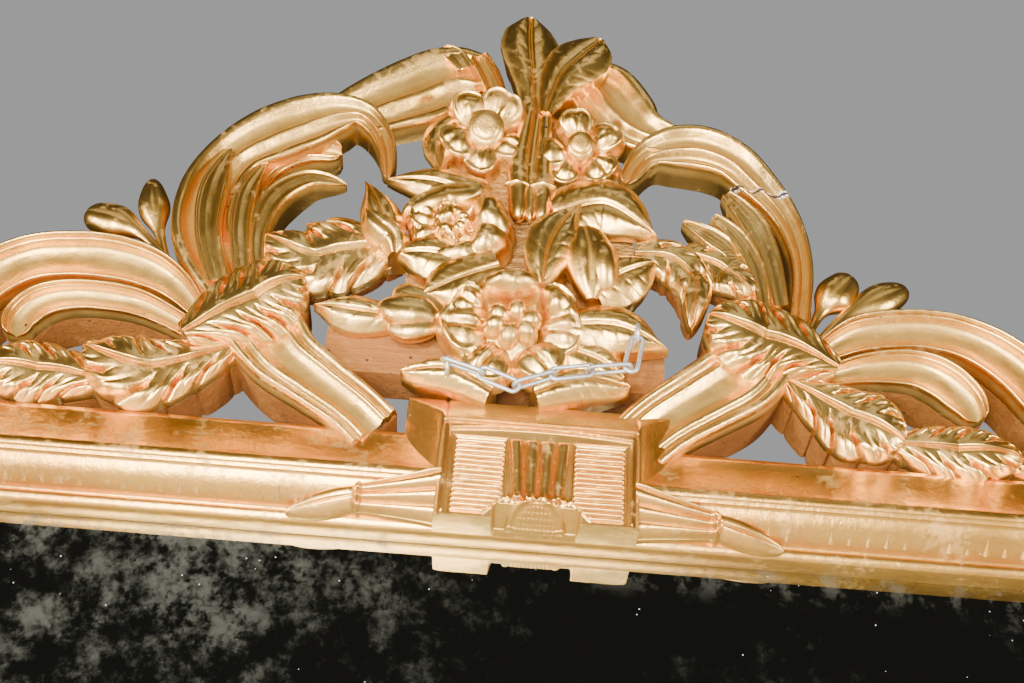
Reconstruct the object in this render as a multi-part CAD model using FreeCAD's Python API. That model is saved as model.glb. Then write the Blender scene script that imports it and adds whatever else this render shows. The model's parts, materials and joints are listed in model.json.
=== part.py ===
import FreeCAD, Part
import math
import os
from collections import namedtuple

os.makedirs("parts", exist_ok=True)
Vector = FreeCAD.Vector

# Gilt wall mirror with a pierced, carved crest. Millimetres.
# X is across the mirror, Y runs back into the wall, Z is up.
# The back of the frame is the plane Y = 0, and the origin is the middle of its bottom edge.
# Depths called "back", "front" and "forward" are measured from that plane towards the room.

# frame
frame_width = 1180.0
frame_height = 1450.0
moulding_width = 72.0
carcass_depth = 23.0
rail_width = 58.0
seat_gap = 0.3

# glass, its rebate and the moulding's section
glass_thickness = 4.0
glass_overlap = 7.0
glass_edge_gap = 1.0
lip_height = 18.0
bead_width = 7.7
bead_rise = 2.0
quirk_width = 1.0
face_width = 18.3
face_rise = 19.0
fillet_step = 1.2
fillet_width = 3.0
ridge_height = 40.0
ridge_width = 8.0
ridge_fall = 2.0
outer_height = 22.0
outer_hollow = 1.8

# glazing blocks
glazing_block_length = 45.0
glazing_block_depth = 14.0
glazing_block_reach = 16.0
glazing_blocks_across = 3
glazing_blocks_up = 4

# back boards and their nails
board_thickness = 8.0
board_lap = 9.0
board_edge_gap = 1.0
board_count = 4
board_gap = 0.6
nail_width = 2.0
nail_head_width = 5.6
nail_head_thickness = 0.9
nail_length = 17.0
nail_inset = 4.5
fastener_clearance = 0.3

# corner joints
peg_radius = 4.0
peg_length = 20.0
peg_spread = 26.0
key_leg = 34.0
key_thickness = 3.0
key_forward = 34.0

# hanging plates, let in flush at the back of the stiles
plate_width = 36.0
plate_height = 76.0
plate_thickness = 3.0
plate_inset = 24.0
plate_drop = 210.0
plate_screw_spread = 52.0
hanging_hole_radius = 4.5
hanging_pocket_radius = 8.0
hanging_pocket_depth = 16.0
screw_radius = 2.0
screw_head_radius = 4.0
screw_head_depth = 2.4
screw_length = 18.0

# crest: places on it are given from its own axis and above the frame's top edge
crest_x = -16.0
batten_width = 38.0
batten_thickness = 12.0
batten_foot = 40.0
batten_top = 196.0
batten_offset = 40.0
batten_screw_heights = (-30.0, -12.0, 96.0, 170.0)
crest_board_front = 45.0
wing_back = 4.0
scroll_back = 30.0
crest_board_base = 50.0
relief_limit = 220.0

# breakfront block on the top rail
block_x = 14.0
block_front_width = 131.0
block_back_width = 186.0
block_front_height = 74.0
block_rise = 29.0
block_back = 24.0
block_front = 70.0
block_foot = 46.5
block_foot_round = 2.0
block_side_gap = 1.5
block_cove_height = 13.0
block_cove_half = 28.0
block_seat = 3.0
panel_inner = 24.0
panel_outer = 56.0
panel_bottom = 5.0
panel_top = 60.0
panel_corner = 12.0
rib_count = 12
rib_depth = 1.6
pleat_count = 4
pleat_width = 11.0
pleat_depth = 3.0
pleat_bottom = 15.0
pleat_top = 60.0
medallion_width = 40.0
medallion_height = 21.0
medallion_thickness = 2.6
medallion_margin = 3.5
reed_collar_at = 54.0
reed_bud_at = 66.0
reed_length = 100.0
reed_width = 34.0
reed_collar_width = 17.0
reed_bud_width = 20.0
reed_tip_width = 5.0
reed_height = 19.5
reed_collar_height = 15.0
reed_tip_height = 6.0
reed_front = 48.0
reed_lean = 0.6
reed_crown = 5.0

# chain: link slopes across the crest, and each link's turn about its own length
wire_radius = 1.5
link_length = 33.0
link_width = 12.0
link_gap = 0.8
chain_forward = 86.0
chain_left = (-37.0, 37.0)
chain_slopes = (-17.0, -21.0, 24.0, 12.0, 11.0, 80.0)
chain_turns = (105.0, 10.0, 90.0, 0.0, 90.0, 0.0)
eye_radius = 6.0
eye_shank_radius = 1.2
eye_screw_length = 16.0

Relief = namedtuple("Relief", "solid tool")

# places worked out from the sizes above
frame_half = frame_width / 2
sight_half_width = frame_half - moulding_width
sight_half_height = frame_height / 2 - moulding_width
glass_front = carcass_depth + glass_thickness
side_depth = glass_front + outer_height
rebate_width = glass_overlap + glass_edge_gap
board_margin = rail_width - board_lap
link_hook = 2 * wire_radius + link_gap
ridge_start = bead_width + quirk_width + face_width + fillet_width


def box(x0, x1, back, front, z0, z1):
    return Part.makeBox(x1 - x0, front - back, z1 - z0, Vector(x0, -front, z0))


def bore(radius, x, z, back, front):
    return Part.makeCylinder(radius, front - back, Vector(x, -back, z), Vector(0, -1, 0))


def pin(x, z, back, front, back_radius, front_radius, sides=6):
    """A faceted pin, straight or tapered, square to the wall."""
    rings = []
    for depth, radius in ((back, back_radius), (front, front_radius)):
        angles = [2 * math.pi * (i + 0.5) / sides for i in range(sides)]
        ring = [Vector(x + radius * math.cos(a), -depth, z + radius * math.sin(a)) for a in angles]
        rings.append(Part.makePolygon(ring + [ring[0]]))
    return Part.makeLoft(rings, True, True)


def prism(points, direction):
    return Part.Face(Part.makePolygon(points + [points[0]])).extrude(direction)


def cut_all(shape, tools):
    return shape.cut(Part.makeCompound(tools)) if tools else shape


def save(name, *solids):
    shape = solids[0] if len(solids) == 1 else Part.makeCompound(list(solids))
    shape.exportStep("parts/" + name + ".step")


# frame: carcass, moulding, glass and boards

def moulding_section():
    """The section as lines and arcs of (outward from the sight edge, forward of the glass)."""
    quirk = bead_width + quirk_width
    face_end = quirk + face_width
    face_top = lip_height + face_rise
    step_top = face_top + fillet_step
    ridge_end = ridge_start + ridge_width
    ridge_foot = ridge_height - ridge_fall
    back = -glass_thickness
    lip = [(rebate_width, back), (rebate_width, 0), (0, 0), (0, lip_height),
           (bead_width, lip_height + bead_rise), (quirk, lip_height)]
    face_arc = [lip[-1], (quirk + face_width * 0.4, lip_height + face_rise * 0.62), (face_end, face_top)]
    fillet = [face_arc[-1], (face_end, step_top), (ridge_start, step_top), (ridge_start, ridge_height)]
    ridge_arc = [fillet[-1], ((ridge_start + ridge_end) / 2, ridge_height), (ridge_end, ridge_foot)]
    slope_middle = (ridge_foot + outer_height) / 2 - outer_hollow
    slope_arc = [ridge_arc[-1], ((ridge_end + moulding_width) / 2, slope_middle),
                 (moulding_width, outer_height)]
    side = [slope_arc[-1], (moulding_width, back), lip[0]]
    return [("line", lip), ("arc", face_arc), ("line", fillet), ("arc", ridge_arc), ("arc", slope_arc),
            ("line", side)]


def moulding(place, half_sight):
    """A length of moulding, mitred at both ends; place maps (along, outward, forward) to space."""
    reach = half_sight + moulding_width
    edges = []
    for kind, points in moulding_section():
        spots = [place(-reach, outward, glass_front + forward) for outward, forward in points]
        if kind == "arc":
            edges.append(Part.Arc(*spots).toShape())
        else:
            edges += [Part.makeLine(a, b) for a, b in zip(spots, spots[1:])]
    bar = Part.Face(Part.Wire(edges)).extrude(place(reach, 0, 0) - place(-reach, 0, 0))
    far = moulding_width + 1
    corners = [(1 - half_sight, -1), (-half_sight - far, far), (half_sight + far, far), (half_sight - 1, -1)]
    keep = [place(along, outward, 0) for along, outward in corners]
    return bar.common(prism(keep, Vector(0, -relief_limit, 0)))


def mouldings():
    middle = frame_height / 2
    top = moulding(lambda a, o, f: Vector(a, -f, middle + sight_half_height + o), sight_half_width)
    bottom = moulding(lambda a, o, f: Vector(a, -f, middle - sight_half_height - o), sight_half_width)
    left = moulding(lambda a, o, f: Vector(-sight_half_width - o, -f, middle + a), sight_half_height)
    right = moulding(lambda a, o, f: Vector(sight_half_width + o, -f, middle + a), sight_half_height)
    return {"moulding_top": top, "moulding_bottom": bottom, "moulding_left": left, "moulding_right": right}


def mitre_keys():
    """Thin triangular keys let into the four outer corners, across the mitres."""
    keys = []
    for side in (-1, 1):
        for z, step in ((0, 1), (frame_height, -1)):
            x = side * frame_half
            corner = [Vector(x, -key_forward, z), Vector(x - side * key_leg, -key_forward, z),
                      Vector(x, -key_forward, z + step * key_leg)]
            keys.append(prism(corner, Vector(0, -key_thickness, 0)))
    return keys


def carcass():
    """Four rails half-lapped at the corners, with a rebate at the back for the boards."""
    lap = carcass_depth / 2
    inner = frame_half - rail_width
    rebate_edge = board_margin - board_edge_gap
    rebate = box(rebate_edge - frame_half, frame_half - rebate_edge, 0, board_thickness, rebate_edge,
                 frame_height - rebate_edge)
    pieces = {}
    for name, z in (("bottom_rail", 0), ("top_rail", frame_height - rail_width)):
        laps = [box(min(s * frame_half, s * inner), max(s * frame_half, s * inner), 0, lap, z, z + rail_width)
                for s in (-1, 1)]
        pieces[name] = box(-frame_half, frame_half, 0, carcass_depth, z, z + rail_width).cut(laps[0]).cut(laps[1])
    for name, side in (("left_stile", -1), ("right_stile", 1)):
        x0, x1 = sorted((side * frame_half, side * inner))
        stile = box(x0, x1, 0, carcass_depth, 0, frame_height)
        for z in (0, frame_height - rail_width):
            stile = stile.cut(box(x0, x1, lap, carcass_depth, z, z + rail_width))
        pieces[name] = stile
    return {name: piece.cut(rebate) for name, piece in pieces.items()}


def corner_places():
    """Two peg places on the diagonal of each half-lapped corner."""
    middle = rail_width / 2
    shift = peg_spread / 2 / math.sqrt(2)
    places = []
    for side in (-1, 1):
        for z, up in ((middle, -1), (frame_height - middle, 1)):
            for step in (-shift, shift):
                places.append((side * (frame_half - middle + step), z + up * step))
    return places


def glass():
    x = sight_half_width + glass_overlap
    z = sight_half_height + glass_overlap
    middle = frame_height / 2
    return box(-x, x, carcass_depth, glass_front, middle - z, middle + z)


def glazing_blocks():
    """Short blocks in the corner between the glass and the carcass rails."""
    reach = glazing_block_reach
    back = carcass_depth - glazing_block_depth
    blocks = []
    for i in range(glazing_blocks_across):
        x = sight_half_width * (2 * i / (glazing_blocks_across - 1) - 1) * 0.8
        for z in (rail_width, frame_height - rail_width - reach):
            blocks.append(box(x - glazing_block_length / 2, x + glazing_block_length / 2, back, carcass_depth,
                              z, z + reach))
    for i in range(glazing_blocks_up):
        z = frame_height / 2 + sight_half_height * (2 * i / (glazing_blocks_up - 1) - 1) * 0.8
        for x in (rail_width - frame_half, frame_half - rail_width - reach):
            blocks.append(box(x, x + reach, back, carcass_depth, z - glazing_block_length / 2,
                              z + glazing_block_length / 2))
    return blocks


def board_edges():
    """Left and right edge of each upright back board."""
    width = (frame_width - 2 * board_margin - (board_count - 1) * board_gap) / board_count
    lefts = [board_margin - frame_half + i * (width + board_gap) for i in range(board_count)]
    return [(left, left + width) for left in lefts]


def nail_places():
    """Two nails at the top and two at the foot of each back board."""
    places = []
    for left, right in board_edges():
        quarter = (right - left) / 4
        for x in (left + quarter, right - quarter):
            places += [(x, board_margin + nail_inset), (x, frame_height - board_margin - nail_inset)]
    return places


def nail(x, z, grow=0.0):
    """A cut nail: square in section, with a flat square head."""
    half = nail_width / 2 + grow
    head = nail_head_width / 2 + grow
    return box(x - head, x + head, 0, nail_head_thickness, z - head, z + head).fuse(
        box(x - half, x + half, 0, nail_length + grow, z - half, z + half))


def screw(x, z, grow=0.0):
    """A countersunk screw driven forward from the back."""
    head = pin(x, z, 0, screw_head_depth, screw_head_radius + grow, screw_radius + grow)
    return head.fuse(pin(x, z, screw_head_depth, screw_length + grow, screw_radius + grow, screw_radius + grow))


def plate_places():
    return [(side * (frame_half - plate_inset), frame_height - plate_drop) for side in (-1, 1)]


def hanging_plate(x, z, grow=0.0):
    half_width = plate_width / 2 + grow
    half_height = plate_height / 2 + grow
    return box(x - half_width, x + half_width, 0, plate_thickness, z - half_height, z + half_height)


def plate_screw_places():
    return [(x, z + side * plate_screw_spread / 2) for x, z in plate_places() for side in (-1, 1)]


def batten_screw_places(side):
    x = crest_x + side * batten_offset
    return [(x, frame_height + height) for height in batten_screw_heights]


def batten(side, grow=0.0):
    x = crest_x + side * batten_offset
    half = batten_width / 2 + grow
    return box(x - half, x + half, 0, batten_thickness, frame_height - batten_foot - grow,
               frame_height + batten_top)


# carving: every piece is a relief, flat at the back, with walls square to it

def spline(path, count):
    """Points along a smooth curve through the path's points, evenly spaced in its parameter."""
    last = len(path) - 1
    points = []
    for i in range(count + 1):
        place = i / count * last
        k = min(int(place), last - 1)
        t = place - k
        around = path[max(k - 1, 0)], path[k], path[k + 1], path[min(k + 2, last)]
        points.append(tuple(0.5 * (2 * b + (c - a) * t + (2 * a - 5 * b + 4 * c - d) * t ** 2
                                   + (3 * b - a - 3 * c + d) * t ** 3) for a, b, c, d in zip(*around)))
    return points


def largest(shape):
    return max(shape.Solids, key=lambda solid: solid.Volume)


def flat_face(points):
    return Part.Face(Part.makePolygon(points + [points[0]]))


def closed_solid(faces):
    solid = Part.makeSolid(Part.makeShell(faces))
    if solid.Volume < 0:
        solid.reverse()
    return solid


def dropped(point, back):
    return Vector(point.x, -back, point.z)


def footprint_tool(outline, back):
    """Everything in front of the back plane, inside the outline."""
    return flat_face([dropped(point, back) for point in outline]).extrude(Vector(0, back - relief_limit, 0))


# across a strip: (place from edge to edge, height as a share of the crown)
fluted = ((-1, 0), (-0.86, 1), (-0.5, 0.2), (-0.12, 0.9), (0.24, 0.15), (0.72, 0.95), (1, 0))
reeded = ((-1, 0), (-0.8, 1), (-0.4, 0.3), (0, 1), (0.4, 0.3), (0.8, 1), (1, 0))
leafy = ((-1, 0), (-0.5, 0.85), (0, 0.7), (0.5, 0.85), (1, 0))
lobed = ((-1, 0), (-0.6, 0.7), (-0.14, 1), (0, 0.8), (0.14, 1), (0.6, 0.7), (1, 0))
rounded = ((-1, 0), (-0.6, 0.8), (0, 1), (0.6, 0.8), (1, 0))


def strip(path, section, back, front, crown, spans=10, lobes=0, lobe_depth=0.0, lean=0.0):
    """A carved strip along a path of (x, z, width), its upper side leaning forward by lean."""
    stations = spline(path, spans)
    widest = max(width for _, _, width in stations)
    rows = []
    for i, (x, z, width) in enumerate(stations):
        before, after = stations[max(i - 1, 0)], stations[min(i + 1, spans)]
        run, rise = after[0] - before[0], after[1] - before[1]
        length = math.hypot(run, rise)
        half = width / 2 * (1 - lobe_depth * abs(math.cos(math.pi * lobes * i / spans)))
        height = crown * math.sqrt(min(max(width, 0.1) / widest, 1))
        row = []
        for u, share in section:
            up = z + run / length * half * u
            forward = front + height * share + lean * up
            row.append(Vector(crest_x + x - rise / length * half * u, -forward, frame_height + up))
        rows.append(row)
    faces = []
    for a, b in zip(rows, rows[1:]):
        for j in range(len(section) - 1):
            faces.append(flat_face([a[j], b[j], b[j + 1]]))
            faces.append(flat_face([a[j], b[j + 1], a[j + 1]]))
        for j in (0, -1):
            faces.append(flat_face([a[j], b[j], dropped(b[j], back), dropped(a[j], back)]))
    for row in (rows[0], rows[-1]):
        faces.append(flat_face(row + [dropped(row[-1], back), dropped(row[0], back)]))
    outline = [row[0] for row in rows] + [row[-1] for row in reversed(rows)]
    faces.append(flat_face([dropped(point, back) for point in outline]))
    return Relief(closed_solid(faces), footprint_tool(outline, back))


def blossom(centre, radius, petals, turn, rings, back, front, droop=0.0, notch=0.22, stretch=1.0):
    """A flower of (share of the radius, height) rings, its upper side leaning forward by droop."""
    steps = petals * 4
    rows = []
    for share, height in rings:
        row = []
        for i in range(steps):
            angle = 2 * math.pi * i / steps
            swell = abs(math.cos(petals * angle / 2))
            reach = radius * share * (1 - notch * share * (1 - swell))
            x = reach * math.cos(angle + turn)
            z = reach * math.sin(angle + turn) * stretch
            forward = front + height * (0.7 + 0.3 * swell) + droop * z
            row.append(Vector(crest_x + centre[0] + x, -forward, frame_height + centre[1] + z))
        rows.append(row)
    faces = []
    for i in range(steps):
        k = (i + 1) % steps
        for a, b in zip(rows, rows[1:]):
            faces.append(flat_face([a[i], a[k], b[k]]))
            faces.append(flat_face([a[i], b[k], b[i]]))
        faces.append(flat_face([rows[0][i], rows[0][k], dropped(rows[0][k], back),
                                dropped(rows[0][i], back)]))
    top = sum(rows[-1], Vector()) * (1 / steps)
    faces += [flat_face([rows[-1][i], rows[-1][(i + 1) % steps], top]) for i in range(steps)]
    faces.append(flat_face([dropped(point, back) for point in rows[0]]))
    return Relief(closed_solid(faces), footprint_tool(rows[0], back))


open_flower = ((1, 0), (0.72, 8), (0.4, 4), (0.36, 11), (0.18, 13))
rose_bloom = ((1, 0), (0.82, 9), (0.66, 5), (0.6, 15), (0.4, 9), (0.34, 17), (0.15, 12))
centre_bloom = ((1, 0), (0.75, 12), (0.48, 7), (0.42, 20), (0.24, 23), (0.12, 16))


def flowers():
    return {
        "central_flower": [blossom((5, 80), 54, 5, math.radians(-90), centre_bloom, crest_board_front, 72, 0.2)],
        "rose": [blossom((-40, 174), 44, 5, math.radians(70), rose_bloom, crest_board_front, 68, 0.15, 0.14)],
        "tulip_bud": [strip([(60, 112, 12), (57, 142, 37), (52, 174, 17)], rounded, crest_board_front, 66, 22,
                            6)],
        "flower_upper_left": [blossom((-28, 275), 37, 5, math.radians(50), open_flower, crest_board_front, 66,
                                      0.3, stretch=1.16)],
        "flower_upper_right": [blossom((47, 264), 34, 5, math.radians(28), open_flower, crest_board_front, 66,
                                       0.3, stretch=1.14)],
    }


def cluster_leaves():
    """Leaves, stems and small buds round the middle flowers."""
    board = crest_board_front
    return {
        "cluster_leaves_right": [
            strip([(23, 114, 8), (26, 143, 35), (34, 167, 39), (48, 190, 8)], leafy, board, 76, 9, 6),
            strip([(40, 86, 26), (79, 87, 40), (114, 72, 5)], leafy, board, 68, 7, 6),
            strip([(44, 70, 25), (66, 61, 36), (82, 50, 12)], leafy, board, 62, 7, 5),
            strip([(34, 194, 44), (68, 206, 54), (104, 183, 22)], leafy, board, 60, 8, 6),
            strip([(62, 122, 40), (84, 137, 45), (102, 152, 20)], leafy, board, 64, 9, 6)],
        "cluster_leaves_left": [
            strip([(-30, 145, 37), (-61, 146, 42), (-84, 145, 13)], leafy, board, 62, 7, 6),
            strip([(-8, 138, 52), (-39, 120, 46), (-60, 106, 12)], leafy, board, 64, 8, 6),
            strip([(-30, 208, 40), (-63, 218, 35), (-98, 218, 7)], leafy, board, 58, 7, 6),
            strip([(-46, 298, 23), (-63, 270, 30), (-60, 234, 9)], leafy, board, 54, 6, 5)],
        "stem_bundle": [
            strip([(6, 312, 8), (0, 254, 18), (1, 222, 19), (3, 190, 14)], rounded, board, 58, 8, 7),
            strip([(19, 312, 8), (19, 255, 17), (20, 224, 18), (21, 190, 13)], rounded, board, 58, 8, 7)],
        "top_leaves": [
            strip([(9, 300, 13), (5, 349, 36), (2, 378, 48), (-1, 410, 12)], leafy, board - 5, 58, 8, 7),
            strip([(18, 300, 12), (28, 340, 38), (43, 363, 50), (57, 380, 16)], leafy, board - 5, 60, 7, 7)],
        "bud_branch_left": [
            strip([(-42, 80, 9), (-59, 93, 38), (-75, 99, 44), (-88, 102, 12)], rounded, board, 58, 14, 6),
            strip([(-80, 92, 20), (-111, 92, 31), (-137, 95, 9)], leafy, board, 54, 6, 5)],
        "base_leaves": [
            strip([(-8, 20, 22), (-37, 34, 32), (-69, 24, 9)], leafy, block_back + 6, 64, 7, 6),
            strip([(22, 20, 22), (57, 34, 32), (89, 33, 7)], leafy, block_back + 6, 64, 7, 6)],
    }


def wing_leaves():
    """The acanthus knots, and the leaves and buds that spring from them."""
    back = wing_back
    return {
        "knot_leaf_left": [strip([(-221, 66, 26), (-194, 87, 68), (-172, 101, 73), (-147, 113, 30)], lobed, back,
                                 56, 18, 8, 4, 0.1)],
        "knot_leaf_right": [strip([(233, 79, 22), (202, 93, 64), (177, 97, 73), (147, 109, 34)], lobed, back, 56,
                                  18, 8, 4, 0.1)],
        "inner_leaf_left": [strip([(-88, 144, 22), (-93, 165, 34), (-103, 189, 30), (-115, 211, 5)], rounded, 36,
                                  58, 12, 6),
                            strip([(-86, 158, 34), (-124, 151, 74), (-153, 143, 60), (-182, 158, 12)], lobed, 30,
                                  50, 12, 8, 4, 0.12)],
        "inner_leaf_right": [strip([(92, 160, 32), (120, 162, 40), (135, 139, 31), (133, 104, 6)], lobed, 36, 56,
                                   8, 8, 3, 0.1),
                             strip([(130, 167, 26), (157, 160, 45), (175, 137, 22)], leafy, 36, 52, 7, 6)],
        "hanging_leaf_left": [strip([(-192, 57, 18), (-222, 41, 48), (-255, 31, 64), (-291, 46, 22)], lobed, back,
                                    50, 15, 8, 4, 0.1)],
        "hanging_leaf_right": [strip([(202, 66, 14), (229, 49, 44), (253, 33, 63), (277, 21, 40)], lobed, back,
                                     50, 15, 8, 4, 0.1)],
        "outer_leaf_left": [strip([(-271, 18, 14), (-303, 25, 44), (-331, 25, 52), (-360, 21, 24)], lobed, back,
                                  48, 12, 8, 4, 0.1),
                            strip([(-352, 12, 14), (-372, 14, 28), (-392, 8, 20)], leafy, back, 44, 7, 5)],
        "outer_leaf_right": [strip([(271, 18, 14), (299, 17, 40), (329, 15, 46), (359, 13, 26)], lobed, back, 48,
                                   12, 8, 4, 0.1),
                             strip([(352, 12, 14), (372, 14, 28), (392, 8, 20)], leafy, back, 44, 7, 5)],
        "bud_spray_left": [strip([(-252, 126, 6), (-267, 163, 7), (-277, 189, 24), (-284, 217, 4)], rounded, 28,
                                 36, 8, 8),
                           strip([(-262, 148, 7), (-281, 163, 9), (-302, 172, 29), (-325, 177, 12)], rounded, 28,
                                 36, 8, 7)],
        "bud_spray_right": [strip([(220, 110, 6), (233, 137, 8), (244, 153, 29), (260, 173, 10)], rounded, 28, 36,
                                  9, 8),
                            strip([(226, 106, 7), (251, 135, 9), (279, 153, 27), (300, 165, 9)], rounded, 28, 36,
                                  9, 8)],
    }


def scrolls():
    """The fluted bands: two C scrolls with their blades, the fans, the legs and the side scrolls."""
    thin = scroll_back
    thick = wing_back
    return {
        "scroll_left": [
            strip([(-224, 241, 4), (-230, 200, 22), (-227, 156, 20), (-211, 112, 18)], leafy, thin, 55, 6, 6),
            strip([(-194, 232, 4), (-204, 198, 17), (-203, 159, 17), (-193, 116, 14)], leafy, thin, 54, 6, 6),
            strip([(-131, 215, 5), (-160, 216, 18), (-183, 194, 22), (-190, 158, 17), (-184, 122, 15)], leafy,
                  thin, 52, 6, 7),
            strip([(-203, 112, 42), (-231, 155, 46), (-234, 199, 49), (-222, 234, 48), (-198, 258, 58),
                   (-172, 276, 58), (-149, 288, 46), (-129, 290, 28), (-114, 276, 20), (-104, 253, 15),
                   (-101, 227, 8)], fluted, thin, 50, 5, 13)],
        "scroll_right": [
            strip([(162, 233, 10), (180, 206, 22), (193, 171, 18), (200, 128, 13)], leafy, thin, 53, 5, 6),
            strip([(152, 210, 8), (170, 188, 16), (183, 159, 15), (188, 122, 12)], leafy, thin, 54, 5, 6),
            strip([(129, 204, 5), (151, 188, 19), (170, 166, 15), (179, 122, 12)], leafy, thin, 52, 5, 6),
            strip([(84, 240, 15), (99, 268, 26), (120, 279, 44), (145, 280, 49), (169, 269, 42), (186, 250, 36),
                   (203, 226, 27), (214, 200, 21), (219, 166, 17), (214, 112, 16)], fluted, thin, 50, 5, 12)],
        "fan_left": [strip([(-138, 292, 56), (-116, 308, 66), (-89, 325, 76), (-59, 344, 74), (-34, 342, 56)],
                           fluted, thin, 52, 6, 7)],
        "fan_right": [strip([(48, 360, 46), (62, 346, 64), (77, 322, 66), (96, 302, 52), (122, 294, 32),
                             (152, 292, 12)], fluted, thin, 52, 6, 8)],
        "leg_left": [strip([(-172, 76, 60), (-154, 53, 53), (-127, 33, 46), (-101, 15, 42), (-66, -14, 42)],
                           reeded, thick, 50, 5, 8)],
        "leg_right": [strip([(180, 84, 64), (166, 63, 62), (143, 44, 57), (116, 23, 52), (82, -10, 48)], reeded,
                            thick, 50, 5, 8)],
        "side_scroll_lower_left": [strip([(-222, 70, 14), (-247, 83, 18), (-274, 92, 22), (-309, 93, 24),
                                          (-333, 85, 27), (-345, 70, 26), (-345, 55, 17)], fluted, thick, 48, 5,
                                         10)],
        "side_scroll_lower_right": [strip([(232, 74, 14), (261, 83, 24), (292, 86, 30), (313, 79, 33),
                                           (330, 63, 30), (338, 47, 17)], fluted, thick, 48, 5, 10)],
        "side_scroll_upper_left": [strip([(-218, 84, 12), (-240, 107, 24), (-263, 121, 33), (-292, 128, 38),
                                          (-322, 128, 39), (-352, 121, 40), (-378, 100, 40), (-394, 70, 36),
                                          (-398, 44, 22)], fluted, thick, 50, 5, 12)],
        "side_scroll_upper_right": [strip([(224, 90, 14), (257, 112, 29), (294, 120, 32), (326, 118, 35),
                                           (352, 107, 38), (375, 87, 40), (390, 62, 36), (394, 40, 22)], fluted,
                                          thick, 50, 5, 12)],
    }


def crest_board():
    """The pine board behind the middle flowers, sawn to follow them."""
    half_outline = [(-128, crest_board_base), (-128, 86), (-92, 92), (-76, 126), (-80, 160), (-72, 214),
                    (-58, 246), (-52, 286), (-30, 304), (0, 312), (24, 312), (50, 292), (74, 262), (66, 232),
                    (92, 200), (92, 150), (80, 112), (84, 90), (116, 88), (116, crest_board_base)]
    points = [Vector(crest_x + x, -batten_thickness, frame_height + z) for x, z in half_outline]
    return prism(points, Vector(0, batten_thickness - crest_board_front, 0))


def seated(solid, tools):
    """The solid cut back where a piece already in place covers it."""
    near = [tool for tool in tools if tool.BoundBox.intersect(solid.BoundBox)]
    for tool in near:
        solid = largest(solid.cut(tool))
    return solid


def carve(groups, tools):
    """Seats each piece against those before it, and joins the strips of one piece."""
    for name, reliefs in groups.items():
        parts = []
        for relief in reliefs:
            parts.append(seated(relief.solid, tools))
            tools.append(relief.tool)
        whole = parts[0]
        for part in parts[1:]:
            whole = whole.fuse(part)
        save(name, whole)


# breakfront block

def rail_height(above_sight):
    return frame_height - moulding_width + above_sight


def plain_block():
    """The block before it is fitted over the moulding: a side profile with splayed ends."""
    top = moulding_width + block_rise
    seat = glass_front + block_seat
    profile = [(block_back, top), (side_depth, top), (block_front, block_front_height),
               (block_front, block_foot_round), (block_foot, 0), (seat, 0), (seat, moulding_width),
               (block_back, moulding_width)]
    half = block_back_width / 2
    solid = prism([Vector(block_x - half, -forward, rail_height(up)) for forward, up in profile],
                  Vector(block_back_width, 0, 0))
    near = block_front_width / 2
    for side in (-1, 1):
        wedge = [(near, block_front), (half, side_depth), (half + 1, side_depth), (half + 1, block_front + 1),
                 (near, block_front + 1)]
        solid = solid.cut(prism([Vector(block_x + side * x, -forward, rail_height(-1)) for x, forward in wedge],
                                Vector(0, 0, top + 2)))
        # below the ridge the ends are upright, where the reeds spring from them
        x0, x1 = sorted((block_x + side * (near + block_side_gap), block_x + side * (half + 1)))
        solid = solid.cut(box(x0, x1, glass_front, block_front + 1, rail_height(-1), rail_height(ridge_start)))
    cove = [(block_foot, -1), (block_foot, 0), (block_front, block_cove_height),
            (block_front + 1, block_cove_height), (block_front + 1, -1)]
    corners = [Vector(block_x - block_cove_half, -forward, rail_height(up)) for forward, up in cove]
    return solid.cut(prism(corners, Vector(2 * block_cove_half, 0, 0)))


def panel_ribs():
    """Grooves between the ribs of the two side panels, shortened at the lower inner corners."""
    pitch = (panel_top - panel_bottom) / rib_count
    grooves = []
    for i in range(rib_count):
        z = panel_bottom + i * pitch
        inner = panel_inner + max(0, panel_corner - (z - panel_bottom))
        for side in (-1, 1):
            x0, x1 = sorted((block_x + side * inner, block_x + side * panel_outer))
            grooves.append(box(x0, x1, block_front - rib_depth, block_front + 1, rail_height(z),
                               rail_height(z + pitch / 2)))
    return grooves


def pleat_hollows():
    """Upright hollows between the pleats in the middle of the block."""
    hollows = []
    for i in range(pleat_count):
        x = block_x + (i - (pleat_count - 1) / 2) * pleat_width
        edge = pleat_width * 0.42
        corners = [Vector(x - edge, -block_front - 1, rail_height(pleat_bottom)),
                   Vector(x + edge, -block_front - 1, rail_height(pleat_bottom)),
                   Vector(x, pleat_depth - block_front, rail_height(pleat_bottom))]
        hollows.append(prism(corners, Vector(0, 0, pleat_top - pleat_bottom)))
    return hollows


def medallion():
    """A half oval that lies on the sloping cove under the pleats."""
    steps = 12
    foot = Vector(block_x, -block_foot, rail_height(0))
    slope = (Vector(block_x, -block_front, rail_height(block_cove_height)) - foot).normalize()
    outward = Vector(1, 0, 0).cross(slope)
    arch = []
    for i in range(steps + 1):
        angle = math.pi * i / steps
        along = medallion_margin + medallion_height * math.sin(angle)
        arch.append(foot + slope * along + Vector(medallion_width / 2 * math.cos(angle), 0, 0))
    return prism(arch, outward * medallion_thickness)


def reed(side):
    """A bundle of reeds tied by a collar, lying in the moulding's hollow beside the block."""
    start = block_front_width / 2
    shift = block_x - crest_x
    bud_height = (reed_collar_height + reed_tip_height) / 2 + 2
    places = [(0, reed_height, reed_width), (reed_collar_at, reed_collar_height, reed_collar_width),
              (reed_bud_at, bud_height, reed_bud_width), (reed_length, reed_tip_height, reed_tip_width)]
    path = [(shift + side * (start + along), height - moulding_width, width) for along, height, width in places]
    front = reed_front + reed_lean * moulding_width
    return strip(path, reeded, glass_front + block_seat, front, reed_crown, 9, lean=reed_lean).solid


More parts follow.
